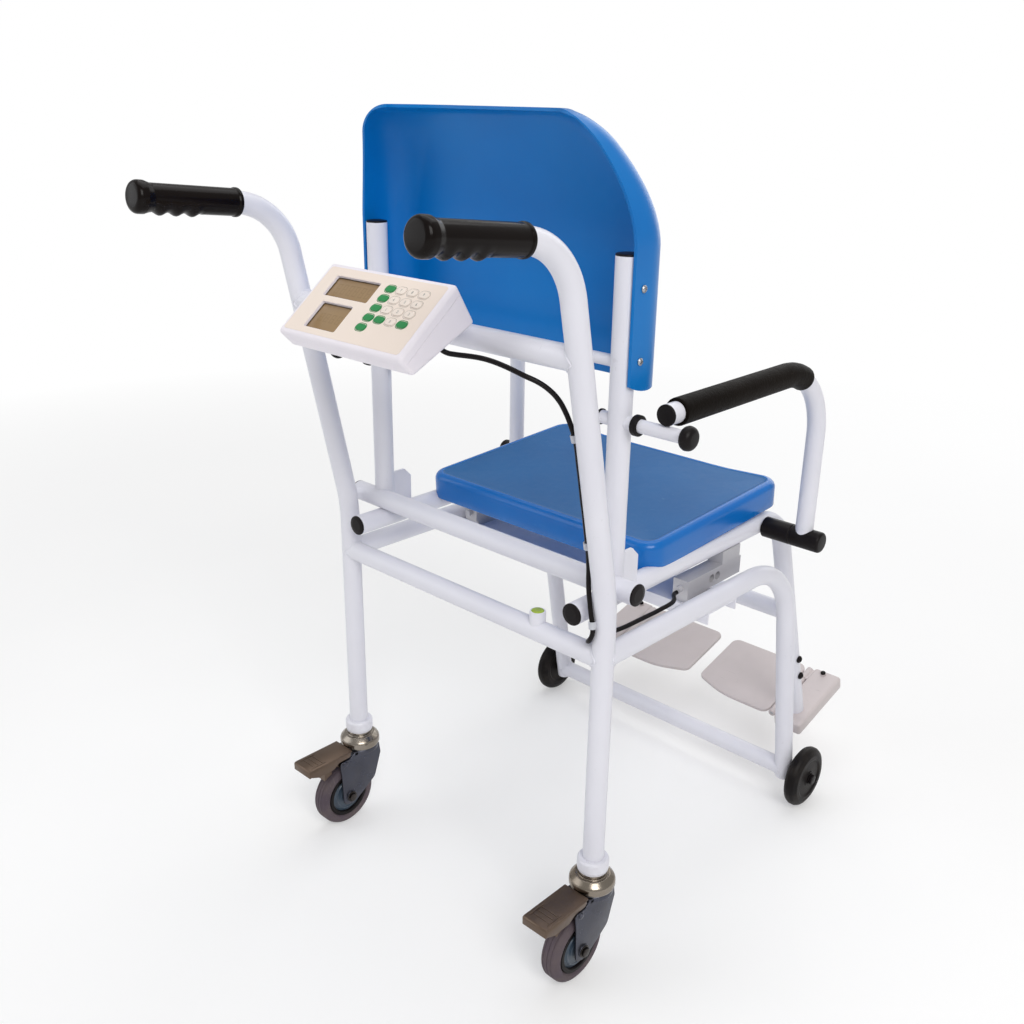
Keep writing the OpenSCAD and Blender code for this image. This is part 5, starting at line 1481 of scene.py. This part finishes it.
    def wheel(self, side: Side) -> None:
        """Tyre, rim and domed hub covers."""
        half = self.tyre_w / 2
        body = "caster_wheel_" + side.word
        where = facing(self.centre(side, self.trail, WHEEL_R), Vector((1, 0, 0)))
        bm = bmesh.new()
        tread = []
        for z in (-6.4, 0.0, 6.4):
            tread += [(50, z - 0.9, 0.3), (49.1, z - 0.4, 0.2), (49.1, z + 0.4, 0.2), (50, z + 0.9, 0.3)]
        wall = [(36.0, half - 2.5, 0), (38.5, half, 1.5), (43, half, 4.0), (48.6, half - 3.6, 4.0)]
        near = [(r, -z, c) for r, z, c in wall]
        lathe(bm, rounded(near + tread + wall[::-1] + near[:1], 4), 72)
        transformed(bm, where)
        self.maker.piece("castor_tyre_" + side.word, bm, body, TYRE, ["caster_wheel_" + side.word])
        bm = bmesh.new()
        flank = [(29.0, half - 3, 0), (30, half - 0.9, 0.6), (35.2, half - 0.9, 0.8), (35.9, half - 3, 0)]
        near = [(r, -z, c) for r, z, c in flank]
        lathe(bm, rounded(near + flank[::-1] + near[:1], 3), 64)
        transformed(bm, where)
        self.maker.piece("castor_rim_" + side.word, bm, body, BLACK)
        bm = bmesh.new()
        disc = [(4.05, 16.4, 0), (9, 16.4, 0.8), (9.6, 13.2, 1.0), (14.5, 12.7, 0.4), (15.2, 11.9, 0.4),
                (21, 11.5, 1.0), (22, 12.4, 0.4), (24, 12.4, 0.4), (25, 11.0, 0.6), (28.9, half - 4.6, 0)]
        lathe(bm, rounded([(r, -z, c) for r, z, c in disc] + disc[::-1] + [(4.05, -16.4, 0)], 3), 64)
        transformed(bm, where)
        self.maker.piece("castor_hub_" + side.word, bm, body, HUB)

    def pedal(self, side: Side) -> None:
        """The pressed brake pedal with a down-turned lip, tread ribs, ears and shoe."""
        bm = bmesh.new()
        top, start, length, w = 131.0, 31.6, 81.4, 40.0
        end = start + length
        strip = rounded([(start, top - 2.5, 0), (end - 2.5, top - 2.5, 1.5), (end - 2.5, top - 12, 0),
                         (end, top - 12, 0), (end, top, 3.5), (start, top, 0)], 4)
        sheet = slab(bm, strip, w, 0.8, 2)
        transformed(bm, self.upright(side, -w / 2), sheet)
        e = self.ear
        for s in (-1, 1):
            ear = slab(bm, rounded([(e[0] + 30, top - 1, 0), (e[0] - 8, top - 1, 0), (e[0] - 7, e[1] - 6, 3),
                                    (e[0] + 7, e[1] - 6, 5), (e[0] + 30, top - 1, 0)], 4)[:-1], 3.0, 0.5, 2)
            x = s * 12.5 - 1.5
            transformed(bm, self.upright(side, x), ear)
            wall = slab(bm, rounded([(start + 3, top - 0.6, 0), (start + 4, top - 9.0, 4),
                                     (e[0] + 13, top - 10.0, 8), (e[0] + 22, top - 17.0, 10),
                                     (end - 16, top - 17.0, 10), (end - 0.6, top - 10.5, 2),
                                     (end - 0.6, top - 1.5, 0), (start + 3, top - 0.6, 0)], 4)[:-1], 2.0, 0.6, 2)
            x = s * (w / 2 - 0.6) - 1.0
            transformed(bm, self.upright(side, x), wall)
        for y0, y1 in ((end - 30, end - 28.4), (end - 22, end - 20.4), (end - 14, end - 12.4)):
            rib = block(bm, (-w / 2 + 7, y0, top - 1.0), (w / 2 - 7, y1, top + 0.6), 0.4, 2)
            transformed(bm, Matrix.Translation(self.centre(side)), rib)
        for x in (-w / 2 + 4.6, w / 2 - 6.0):
            rib = block(bm, (x, end - 34, top - 1.0), (x + 1.4, end - 8, top + 0.6), 0.4, 2)
            transformed(bm, Matrix.Translation(self.centre(side)), rib)
        turn = math.radians(self.brake_turn)
        rest_y = e[0] + (self.trail - e[0]) * math.cos(turn) - (WHEEL_R - e[1]) * math.sin(turn)
        rest_z = e[1] + (self.trail - e[0]) * math.sin(turn) + (WHEEL_R - e[1]) * math.cos(turn)
        arc = []
        for k in range(7):
            y = e[0] + 18 + 14 * k / 6
            arc.append((y, rest_z + math.sqrt(self.shoe_r ** 2 - (y - rest_y) ** 2)))
        shoe = slab(bm, arc + [(e[0] + 32, top - 1), (e[0] + 18, top - 1)], 16.0, 0.0)
        transformed(bm, self.upright(side, -8.0), shoe)
        # The pedal wears the darker zinc, a painted reflection of dark surroundings.
        self.maker.piece("brake_pedal_pressed_" + side.word, bm, "caster_brake_" + side.word, PEDAL_DARK_REFLECTION,
                         ["caster_brake_" + side.word])

    def build(self) -> None:
        """Makes both castors."""
        for side in Side:
            self.fork(side)
            self.wheel(side)
            self.pedal(side)


@dataclass
class FrontWheels:
    """Solid black front wheels, which turn on bolts that Fasteners makes."""

    maker: Maker
    x: float = 268.0
    width: float = 24.0

    def build(self) -> None:
        """Makes both wheels."""
        half = self.width / 2
        for side in Side:
            s = side.value
            bm = bmesh.new()
            outer = [(5.05, half, 0), (12, half, 0.8), (13.5, half - 1.6, 0.8), (30, half - 2.4, 2.0),
                     (33, half - 0.2, 1.6), (40, half - 0.2, 3.0), (47.5, half - 4.2, 5.0), (50, 3.2, 3.5)]
            inner = [(r, -z, c) for r, z, c in reversed(outer)]
            lathe(bm, rounded(outer + inner + [(5.05, half, 0)], 5), 72)
            transformed(bm, facing(at(s * self.x, FRONT_WHEEL_Y, WHEEL_R), Vector((s, 0, 0))))
            self.maker.piece("front_wheel_rubber_" + side.word, bm, "front_wheel_" + side.word, WHEEL,
                             ["front_wheel_" + side.word])


# Footplates


@dataclass
class Footplates:
    """Folding footplates on sloping blocks."""

    maker: Maker
    middle_y: float = -631.199
    middle_z: float = 122.6
    slope: float = 14.6
    length: float = 140.0
    hinge: float = 171.0
    block_mid: float = 203.0

    def place(self) -> Matrix:
        """From a footplate's own X, forward up the slope and out, to the model's frame."""
        flip = Matrix.Diagonal((1, -1, 1, 1))
        return (Matrix.Translation(at(0, self.middle_y, self.middle_z)) @
                Matrix.Rotation(math.radians(-self.slope), 4, "X") @ flip)

    def on_pin(self, y: float) -> Matrix:
        """Lays a shape drawn along +Z on the hinge pin's line, y along it."""
        return Matrix.Translation((self.hinge / 1000, y / 1000, -0.003)) @ Matrix.Rotation(math.pi / 2, 4, "X")

    def plate(self, side: Side) -> None:
        """A plate with round corners, a chamfered rear corner and the middle knuckle."""
        s = side.value
        inner, outer, half = 13.0, 163.0, self.length / 2
        corners = [(outer, -half, 14), (outer, half, 14), (inner, half, 14), (inner, -half + 19.7, 14),
                   (inner + 59.0, -half, 150)]
        loop = rounded(corners[-1:] + corners + corners[:1], 5)[1:-1]
        bm = bmesh.new()
        slab(bm, loop, 6.0, 1.5, 3)
        transformed(bm, Matrix.Translation((0, 0, -0.006)))
        mid = self.length - 66.0
        block(bm, (outer - 4, -mid / 2, -6.0), (self.hinge, mid / 2, 0.0), 0.5, 1)
        roll = sleeve(bm, 3.05, 6, -mid / 2, mid / 2)
        transformed(bm, self.on_pin(0.0), roll)
        transformed(bm, self.place() @ Matrix.Diagonal((s, 1, 1, 1)))
        self.maker.piece("footplate_moulded_" + side.word, bm, "footplate_" + side.word, PLATE,
                         ["footplate_" + side.word])

    def brackets(self) -> None:
        """The blocks under the hangers with their outer knuckles."""
        bm = bmesh.new()
        inside = self.block_mid - 25.0
        for s in (1, -1):
            start = set(bm.verts)
            block(bm, (inside, -72, -23), (inside + 50, 72, 2), 6.0, 6)
            for end in (-1, 1):
                y = end * 52.0
                roll = sleeve(bm, 3.02, 6, -14, 14)
                transformed(bm, self.on_pin(y), roll)
                block(bm, (self.hinge + 3.0, y - 13.5, -6), (inside + 2, y + 13.5, 0), 0.6, 2)
            made = added(bm, start)
            transformed(bm, self.place() @ Matrix.Diagonal((s, 1, 1, 1)), made)
        self.maker.piece("footplate_blocks_moulded", bm, "base", PLATE, ["footplate_brackets"])
        self.knobs()

    def knobs(self) -> None:
        """The black knob with a pale collar on each block."""
        black, pale = bmesh.new(), bmesh.new()
        for s in (1, -1):
            spot = Matrix.Translation((s * (self.block_mid - 4) / 1000, (self.length / 2 - 10) / 1000, 0.002))
            knob = lathe(black, rounded([(0, 0, 0), (2.6, 0, 0), (2.6, 3.2, 0), (4.4, 3.4, 0.6),
                                         (4.4, 6.8, 1.6), (0, 6.9, 0)], 3), 28)
            transformed(black, self.place() @ spot, knob)
            ring = sleeve(pale, 2.7, 4.4, 0, 3.0, (0.4, 0.8), 2)
            transformed(pale, self.place() @ spot, ring)
        self.maker.piece("block_knobs", black, "base", BLACK)
        self.maker.piece("block_knob_collars", pale, "base", PLATE)

    def build(self) -> None:
        """Makes plates, blocks and knobs."""
        for side in Side:
            self.plate(side)
        self.brackets()


# Fasteners


@dataclass
class Fasteners:
    """Screws, bolts and pins, with drives, washers and nuts."""

    maker: Maker

    def pan_head(self, bm: BMesh, place: Vector, out: Vector, head: float, high: float, shank: float,
                 length: float, turn: float) -> None:
        """A pan head screw with a cross recess, its head's underside at place."""
        r = head / 2
        bodies = bmesh.new()
        lathe(bodies, rounded([(0, -length, 0), (shank / 2, -length, 0), (shank / 2, 0, 0), (r, 0, 0.3),
                               (r, high * 0.45, high * 0.4), (r * 0.55, high, high * 0.6),
                               (0, high, 0)], 4), 32)
        slots = bmesh.new()
        for a in (0, 90):
            cut = block(slots, (-r * 0.62, -r * 0.13, high * 0.45), (r * 0.62, r * 0.13, high + 1), 0)
            transformed(slots, Matrix.Rotation(math.radians(a + turn), 4, "Z"), cut)
        made = carve(bodies, slots)
        transformed(made, facing(place, out))
        loaded(mesh_of(made, "screw"), bm)

    def washer(self, bm: BMesh, place: Vector, out: Vector, hole: float, rim: float,
               thick: float) -> None:
        """A flat washer."""
        transformed(bm, facing(place, out), sleeve(bm, hole, rim, 0, thick, (0.2, 0.3), 2))

    def hexagon(self, bm: BMesh, place: Vector, out: Vector, flats: float, high: float,
                turn: float) -> None:
        """A hexagon head or nut on a surface."""
        r = flats / math.sqrt(3)
        shape = [(r * math.cos(math.tau * k / 6), r * math.sin(math.tau * k / 6)) for k in range(6)]
        transformed(bm, facing(place, out, turn), slab(bm, shape, high, 0.6, 2))

    def rod(self, bm: BMesh, place: Vector, out: Vector, r: float, length: float) -> None:
        """A plain shank with chamfered ends, from place along out."""
        transformed(bm, facing(place, out), bar(bm, r, 0, length, (0.6, 0.8), 2))

    def build(self) -> None:
        """Makes every screw, bolt and pin."""
        bright, dark = bmesh.new(), bmesh.new()
        for side in Side:
            s = side.value
            out = Vector((s, 0, 0))
            for z, turn in ((811, 20), (892, 65)):
                self.pan_head(bright, at(s * BACK_HALF, -52, z), out, 9.0, 3.0, 4.0, 12.0, turn)
            for z, turn in ((195, 10), (230, 50)):
                y = -462 - (BEAM_Z - z) * math.tan(math.radians(HANGER_LEAN))
                self.pan_head(dark, at(s * 215, y, z), out, 12.0, 5.0, 5.0, 6.0, turn)
            axle = at(s * 280.6, FRONT_WHEEL_Y, WHEEL_R)
            self.washer(dark, axle, out, 5.0, 9.4, 1.4)
            self.hexagon(dark, axle + out * 0.0014, out, 15.0, 4.6, 12.0)
            self.rod(dark, at(s * 229, FRONT_WHEEL_Y, WHEEL_R), out, 5.0, 57.0)
            for y in (-249.0, -225.0):
                self.hexagon(bright, at(s * BEAM_HALF, y, 439.6), Vector((0, 0, -1)), 13.0, 4.8, 8.0)
                self.rod(bright, at(s * BEAM_HALF, y, 439.6), Vector((0, 0, 1)), 3.95, 20.0)
            for y in (-327.0, -303.0):
                self.rod(bright, at(s * BEAM_HALF, y, 468.0), Vector((0, 0, 1)), 3.95, 34.0)
            plates = Footplates(self.maker)
            pin = bar(bright, 3, -66, 66, (0.6, 0.6), 2, 24)
            transformed(bright, plates.place() @ Matrix.Translation((s * 0.171, 0, -0.003)) @
                        Matrix.Rotation(math.pi / 2, 4, "X"), pin)
        self.maker.piece("screws_bright", bright, "base", STEEL, ["fasteners"])
        self.maker.piece("bolts_dark", dark, "base", BLACK)


# Indicator


class KeyColour(Enum):
    """The two colours of key caps."""

    GREEN = "green"
    WHITE = "white"


@dataclass
class Indicator:
    """Housing, overlay, display windows and keys of the indicator."""

    maker: Maker
    face_y: float = 112.0
    face_z: float = 901.0
    tilt: float = 39.5
    width: float = 212.0
    face: float = 110.0
    depth_top: float = 53.3
    depth_low: float = 29.5
    in_top: float = 7.7
    in_low: float = 3.0
    mode_x: float = 19.0
    digit_x: tuple[float, ...] = (37.0, 55.5, 74.0)
    top_y: float = -23.4
    pitch: float = 14.2
    window_1: tuple[float, ...] = (-79.0, -48.4, -1.0, -18.4)
    window_2: tuple[float, ...] = (-70.0, -95.0, -15.0, -57.0)

    def place(self) -> Matrix:
        """From the face's own X to the right, Y up the slope and Z out, to the model's frame."""
        return (Matrix.Translation(at(0, self.face_y, self.face_z)) @
                Matrix.Rotation(math.radians(-self.tilt), 4, "X") @ Matrix.Rotation(math.pi, 4, "Z"))

    def spots(self) -> list[tuple[str, float, float, KeyColour, str]]:
        """Node, place, colour and numeral of each key."""
        out = [("key_mode_%d" % (k + 1), self.mode_x, self.top_y - k * self.pitch, KeyColour.GREEN, "")
               for k in range(5)]
        for row, digits in enumerate(("789", "456", "123")):
            out += [("key_" + d, x, self.top_y - row * self.pitch, KeyColour.WHITE, d)
                    for d, x in zip(digits, self.digit_x)]
        last = self.top_y - 3 * self.pitch
        names = (("key_clear", KeyColour.GREEN, ""), ("key_0", KeyColour.WHITE, "0"),
                 ("key_enter", KeyColour.GREEN, ""))
        return out + [(name, x, last, colour, mark) for (name, colour, mark), x in zip(names, self.digit_x)]

    def openings(self, extra: float, low: float) -> BMesh:
        """Cutters for the windows and keys, from a depth up past the face."""
        bm = bmesh.new()
        for x0, y0, x1, y1 in (self.window_1, self.window_2):
            slab(bm, soft_rect(x0 - extra, y0 - extra, x1 + extra, y1 + extra, 2.2 + extra), 30.0)
        for _, x, y, _, _ in self.spots():
            shape = slab(bm, oval(15.4 + extra, 9.4 + extra), 30.0)
            transformed(bm, Matrix.Translation((x / 1000, y / 1000, 0)), shape)
        transformed(bm, Matrix.Translation((0, 0, low / 1000)))
        return bm

    def shell(self) -> BMesh:
        """The closed outer form with soft edges, drawn across its width."""
        bm = bmesh.new()
        section = [(0, 0), (-self.face, 0), (-self.face + self.in_low, -self.depth_low),
                   (-self.in_top, -self.depth_top)]
        slab(bm, section, self.width, 0.0)
        transformed(bm, Matrix.Translation((-self.width / 2000, 0, 0)) @ TO_YZ)
        bmesh.ops.bevel(bm, geom=bm.edges[:], offset=0.0052, affect="EDGES", segments=6, profile=0.5,
                        material=-1, clamp_overlap=True)
        return bm

    def housing(self) -> None:
        """Housing in two halves with a parting groove, hollow behind the windows."""
        outer = self.shell()
        hollow = bmesh.new()
        block(hollow, (-self.width / 2 + 4, -self.face + 6, -26.0), (self.width / 2 - 4, -5, -2.5), 0)
        base = carve(outer, hollow)
        base = carve(base, self.openings(0.0, -6.0))
        groove = bmesh.new()
        ring = bmesh.new()
        block(groove, (-self.width, -2 * self.face, -12.3), (self.width, self.face, -11.95), 0)
        block(ring, (-self.width / 2 + 0.5, -self.face + 1.5, -20), (self.width / 2 - 0.5, -1.3, -5), 0)
        base = carve(base, carve(groove, ring))
        transformed(base, self.place())
        self.maker.piece("indicator_housing", base, "base", HOUSING, ["indicator_case", "indicator_cover"],
                         sharp=30.0)

    def overlay(self) -> None:
        """The thin sheet on the face."""
        bm = bmesh.new()
        half = self.width / 2 - 6.5
        slab(bm, soft_rect(-half, -self.face + 6.5, half, -6.5, 4.0), 0.35, 0.12, 1)
        transformed(bm, Matrix.Translation((0, 0, 0.00002)))
        sheet = carve(bm, self.openings(0.4, -6.0))
        transformed(sheet, self.place())
        self.maker.piece("indicator_overlay", sheet, "base", OVERLAY, sharp=30.0)

    def displays(self) -> None:
        """Dark recess linings as painted shade of the window recesses, display glass and the faint resting
        segments.
        """
        for name, (x0, y0, x1, y1), cells, tall in (("upper", self.window_1, 6, 15.0),
                                                    ("lower", self.window_2, 4, 12.0)):
            # A dark lining round the window's recess wall: painted shade of the recess.
            frame = bmesh.new()
            slab(frame, soft_rect(x0 + 0.1, y0 + 0.1, x1 - 0.1, y1 - 0.1, 2.0), 3.9)
            hole = bmesh.new()
            slab(hole, soft_rect(x0 + 0.9, y0 + 0.9, x1 - 0.9, y1 - 0.9, 1.0), 20.0)
            transformed(hole, Matrix.Translation((0, 0, -0.005)))
            frame = carve(frame, hole)
            transformed(frame, self.place() @ Matrix.Translation((0, 0, -0.0068)))
            self.maker.piece("window_edge_" + name, frame, "base", RECESS_SHADE, sharp=30.0)
            glass = bmesh.new()
            slab(glass, soft_rect(x0 + 0.4, y0 + 0.4, x1 - 0.4, y1 - 0.4, 1.5), 1.6, 0.3, 2)
            transformed(glass, self.place() @ Matrix.Translation((0, 0, -0.0052)))
            self.maker.piece("display_glass_" + name, glass, "base", LCD)
            self.segments(name, (x0 + 7, (y0 + y1) / 2 - tall / 2), (x1 - x0 - 14) / cells, cells, tall)

    def segments(self, name: str, start: Flat, pitch: float, cells: int, tall: float) -> None:
        """Faint seven-part figures that an idle display shows."""
        bm = bmesh.new()
        wide, t = pitch * 0.62, tall * 0.09
        for k in range(cells):
            x, y = start[0] + pitch * (k + 0.19), start[1]
            bars = [(x, y + h - t / 2, x + wide, y + h + t / 2) for h in (t / 2, tall / 2, tall - t / 2)]
            bars += [(x + side - t / 2, y + low + t * 0.7, x + side + t / 2, y + low + tall / 2 - t * 0.7)
                     for side in (t / 2, wide - t / 2) for low in (0.0, tall / 2)]
            for x0, y0, x1, y1 in bars:
                slab(bm, [(x0, y0), (x1, y0), (x1, y1), (x0, y1)], 0.03)
        transformed(bm, self.place() @ Matrix.Translation((0, 0, -0.0036)))
        self.maker.piece("display_segments_" + name, bm, "base", LCD_DARK)

    def key(self, node: str, x: float, y: float, colour: KeyColour, mark: str) -> None:
        """A domed key cap, with its numeral."""
        bm = bmesh.new()
        slab(bm, oval(15.0, 9.0, 12), 8.3, 0.9, 4)
        finish = KEY_GREEN if colour is KeyColour.GREEN else KEY_WHITE
        spot = self.place() @ Matrix.Translation((x / 1000, y / 1000, 0))
        transformed(bm, spot @ Matrix.Translation((0, 0, -0.007)))
        self.maker.piece(node + "_cap", bm, node, finish, [node], sharp=40.0)
        if colour is KeyColour.WHITE:
            self.numeral(node, mark, spot)

    def prints(self) -> None:
        """The ovals printed round the keys: broad green ones and faint grey lines."""
        for colour, finish, line in ((KeyColour.GREEN, KEY_GREEN, 0.0008), (KeyColour.WHITE, INK, 0.0003)):
            bm = bmesh.new()
            for _, x, y, kind, _ in self.spots():
                if kind is not colour:
                    continue
                ring = slab(bm, oval(17.4, 12.3, 12), 0.05)
                face = max((f for v in ring for f in v.link_faces if f.normal.z > 0.9),
                           key=lambda f: f.calc_area())
                floor = [f for v in ring for f in v.link_faces if f.normal.z < -0.9]
                bmesh.ops.inset_region(bm, faces=[face], thickness=line, use_even_offset=True)
                bmesh.ops.delete(bm, geom=once([face, *floor]), context="FACES")
                fresh = [v for v in bm.verts if abs(v.co.x) < 0.009 and abs(v.co.y) < 0.0064 and not v.tag]
                transformed(bm, Matrix.Translation((x / 1000, y / 1000, 0)), fresh)
                for vert in bm.verts:
                    vert.tag = True
            transformed(bm, self.place() @ Matrix.Translation((0, 0, 0.00036)))
            self.maker.piece("key_prints_" + colour.value, bm, "base", finish)

    def numeral(self, node: str, mark: str, spot: Matrix) -> None:
        """The key's plain numeral as thin ink."""
        text = bpy.data.curves.new(node + "_numeral", "FONT")
        text.body = mark
        text.size = 0.0052
        text.align_x = "CENTER"
        text.align_y = "CENTER"
        text.extrude = 0.00003
        text.resolution_u = 3
        holder = placed("numeral", text)
        mesh = shaped(holder)
        bpy.data.objects.remove(holder)
        bpy.data.curves.remove(text)
        bm = loaded(mesh)
        transformed(bm, spot @ Matrix.Translation((0, 0, 0.00133)))
        self.maker.piece(node + "_numeral", bm, node, INK)

    def gland(self) -> None:
        """The gland in the floor through which the lead leaves."""
        bm = bmesh.new()
        tilt = math.atan((self.depth_top - self.depth_low) / (self.face - self.in_top - self.in_low))
        floor = (self.place() @ Matrix.Translation((0, -self.in_top / 1000, -self.depth_top / 1000)) @
                 Matrix.Rotation(-tilt, 4, "X"))
        nut = lathe(bm, rounded([(3.1, -8, 0), (5.0, -8, 0.8), (5.4, -3, 0.5), (5.5, 0, 0), (3.1, 0, 0),
                                 (3.1, -8, 0)], 3), 28)
        transformed(bm, floor @ Matrix.Translation((0.08, -0.038, 0)), nut)
        self.maker.piece("indicator_gland", bm, "base", BLACK)

    def build(self) -> None:
        """Makes the indicator."""
        self.housing()
        self.overlay()
        self.prints()
        self.displays()
        for key in self.spots():
            self.key(*key)
        self.gland()


# Lead and level


@dataclass
class Lead:
    """The load cell lead and the clips that hold it."""

    maker: Maker
    radius: float = 3.0
    route: tuple[Point, ...] = (
        (-80, 114.7, 831.1), (-80.4, 112.4, 826.5), (-84, 108, 822.5), (-93, 102, 820.8), (-105, 96, 820.3),
        (-118, 91, 819.7), (-132, 87, 818), (-146, 83.5, 815), (-160, 81, 811.5), (-173, 77, 807),
        (-185, 69, 801), (-194, 61, 793), (-202, 54, 782), (-209, 50, 769), (-215, 47.5, 755), (-219, 44.5, 740),
        (-220, 41, 725), (-220, 38, 710), (-220, 34.5, 695), (-220, 31.5, 680), (-220, 28.5, 665),
        (-220, 25, 650), (-220, 22, 635), (-220, 19, 620), (-220, 16, 605), (-220, 13.5, 590),
        (-220, 12, 575), (-220.5, 12, 560), (-222.5, 13, 546), (-226, 14.5, 533), (-230, 16.5, 520),
        (-234, 17.8, 508), (-234.5, 18, 497), (-230, 17, 487), (-224, 12.5, 481), (-220, 5, 478.5),
        (-219, -6, 478), (-219.5, -20, 476.5), (-220.5, -35, 474.5), (-221.5, -50, 473), (-222, -65, 472),
        (-222, -80, 471.5), (-222, -95, 471), (-222, -110, 470.5), (-222, -125, 470), (-222, -140, 470),
        (-221.5, -155, 469.5), (-219, -169, 468.5), (-213, -181, 467), (-206, -190, 465.8),
        (-202, -197, 465.2), (-201, -204, 465))
    clips: tuple[int, ...] = (15, 24, 31)

    def build(self) -> None:
        """Sweeps the lead and folds the clips round it."""
        mesh = swept([at(*p) for p in self.route], self.radius / 1000, sides=16, smooth=True)
        self.maker.adopt("load_cell_lead", mesh, "base", BLACK, ["sensor_cable"], sharp=60.0)
        bm = bmesh.new()
        for i in self.clips:
            spot = Vector(self.route[i])
            way = (Vector(self.route[i + 1]) - Vector(self.route[i - 1])).normalized()
            transformed(bm, facing(at(*spot), way), sleeve(bm, 3.5, 4.8, -4.5, 4.5, (0.5, 0.5), 3, 24))
        self.maker.piece("lead_clips", bm, "base", CLIP, ["cable_clips"])


@dataclass
class Level:
    """The round spirit level in the lower crossbar's boss."""

    maker: Maker
    x: float = -132.0
    top: float = 484.0

    def build(self) -> None:
        """Makes the cup, the fluid and the bubble ring."""
        place = Matrix.Translation(at(self.x, 0, self.top))
        bm = bmesh.new()
        lathe(bm, rounded([(0, -8, 0), (8.5, -8, 0), (8.5, 1.0, 0.5), (7.2, 2.4, 1.2), (0, 3.0, 0)], 4), 40)
        transformed(bm, place)
        self.maker.piece("level_vial", bm, "base", LEVEL_FLUID, ["bubble_level"])
        bm = bmesh.new()
        lathe(bm, rounded([(8.4, -0.2, 0), (10.2, -0.2, 0.2), (10.2, 1.3, 0.6), (8.4, 1.5, 0),
                           (8.4, -0.2, 0)], 2), 40)
        transformed(bm, place)
        self.maker.piece("level_rim", bm, "base", PAINT)
        bm = bmesh.new()
        lathe(bm, [(2.6, 2.55), (3.1, 2.6), (3.1, 2.9), (2.6, 2.95), (2.6, 2.55)], 32)
        transformed(bm, place)
        self.maker.piece("level_ring", bm, "base", INK)


def main() -> None:
    """Loads the frame, builds the setting and every sub-assembly, and logs the count of pieces."""
    logging.basicConfig(level=logging.INFO, format="%(name)s %(message)s")
    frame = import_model()
    Setting().build()
    maker = Maker(frame)
    for part in (BaseFrame, BackShell, SeatShell, HandGrips, Armrests, Castors, FrontWheels, Footplates,
                 Fasteners, Indicator, Lead, Level):
        part(maker).build()
        LOG.info("built %s", part.__name__)
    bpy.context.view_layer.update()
    LOG.info("%d pieces", maker.count)


if __name__ == "__main__":
    main()
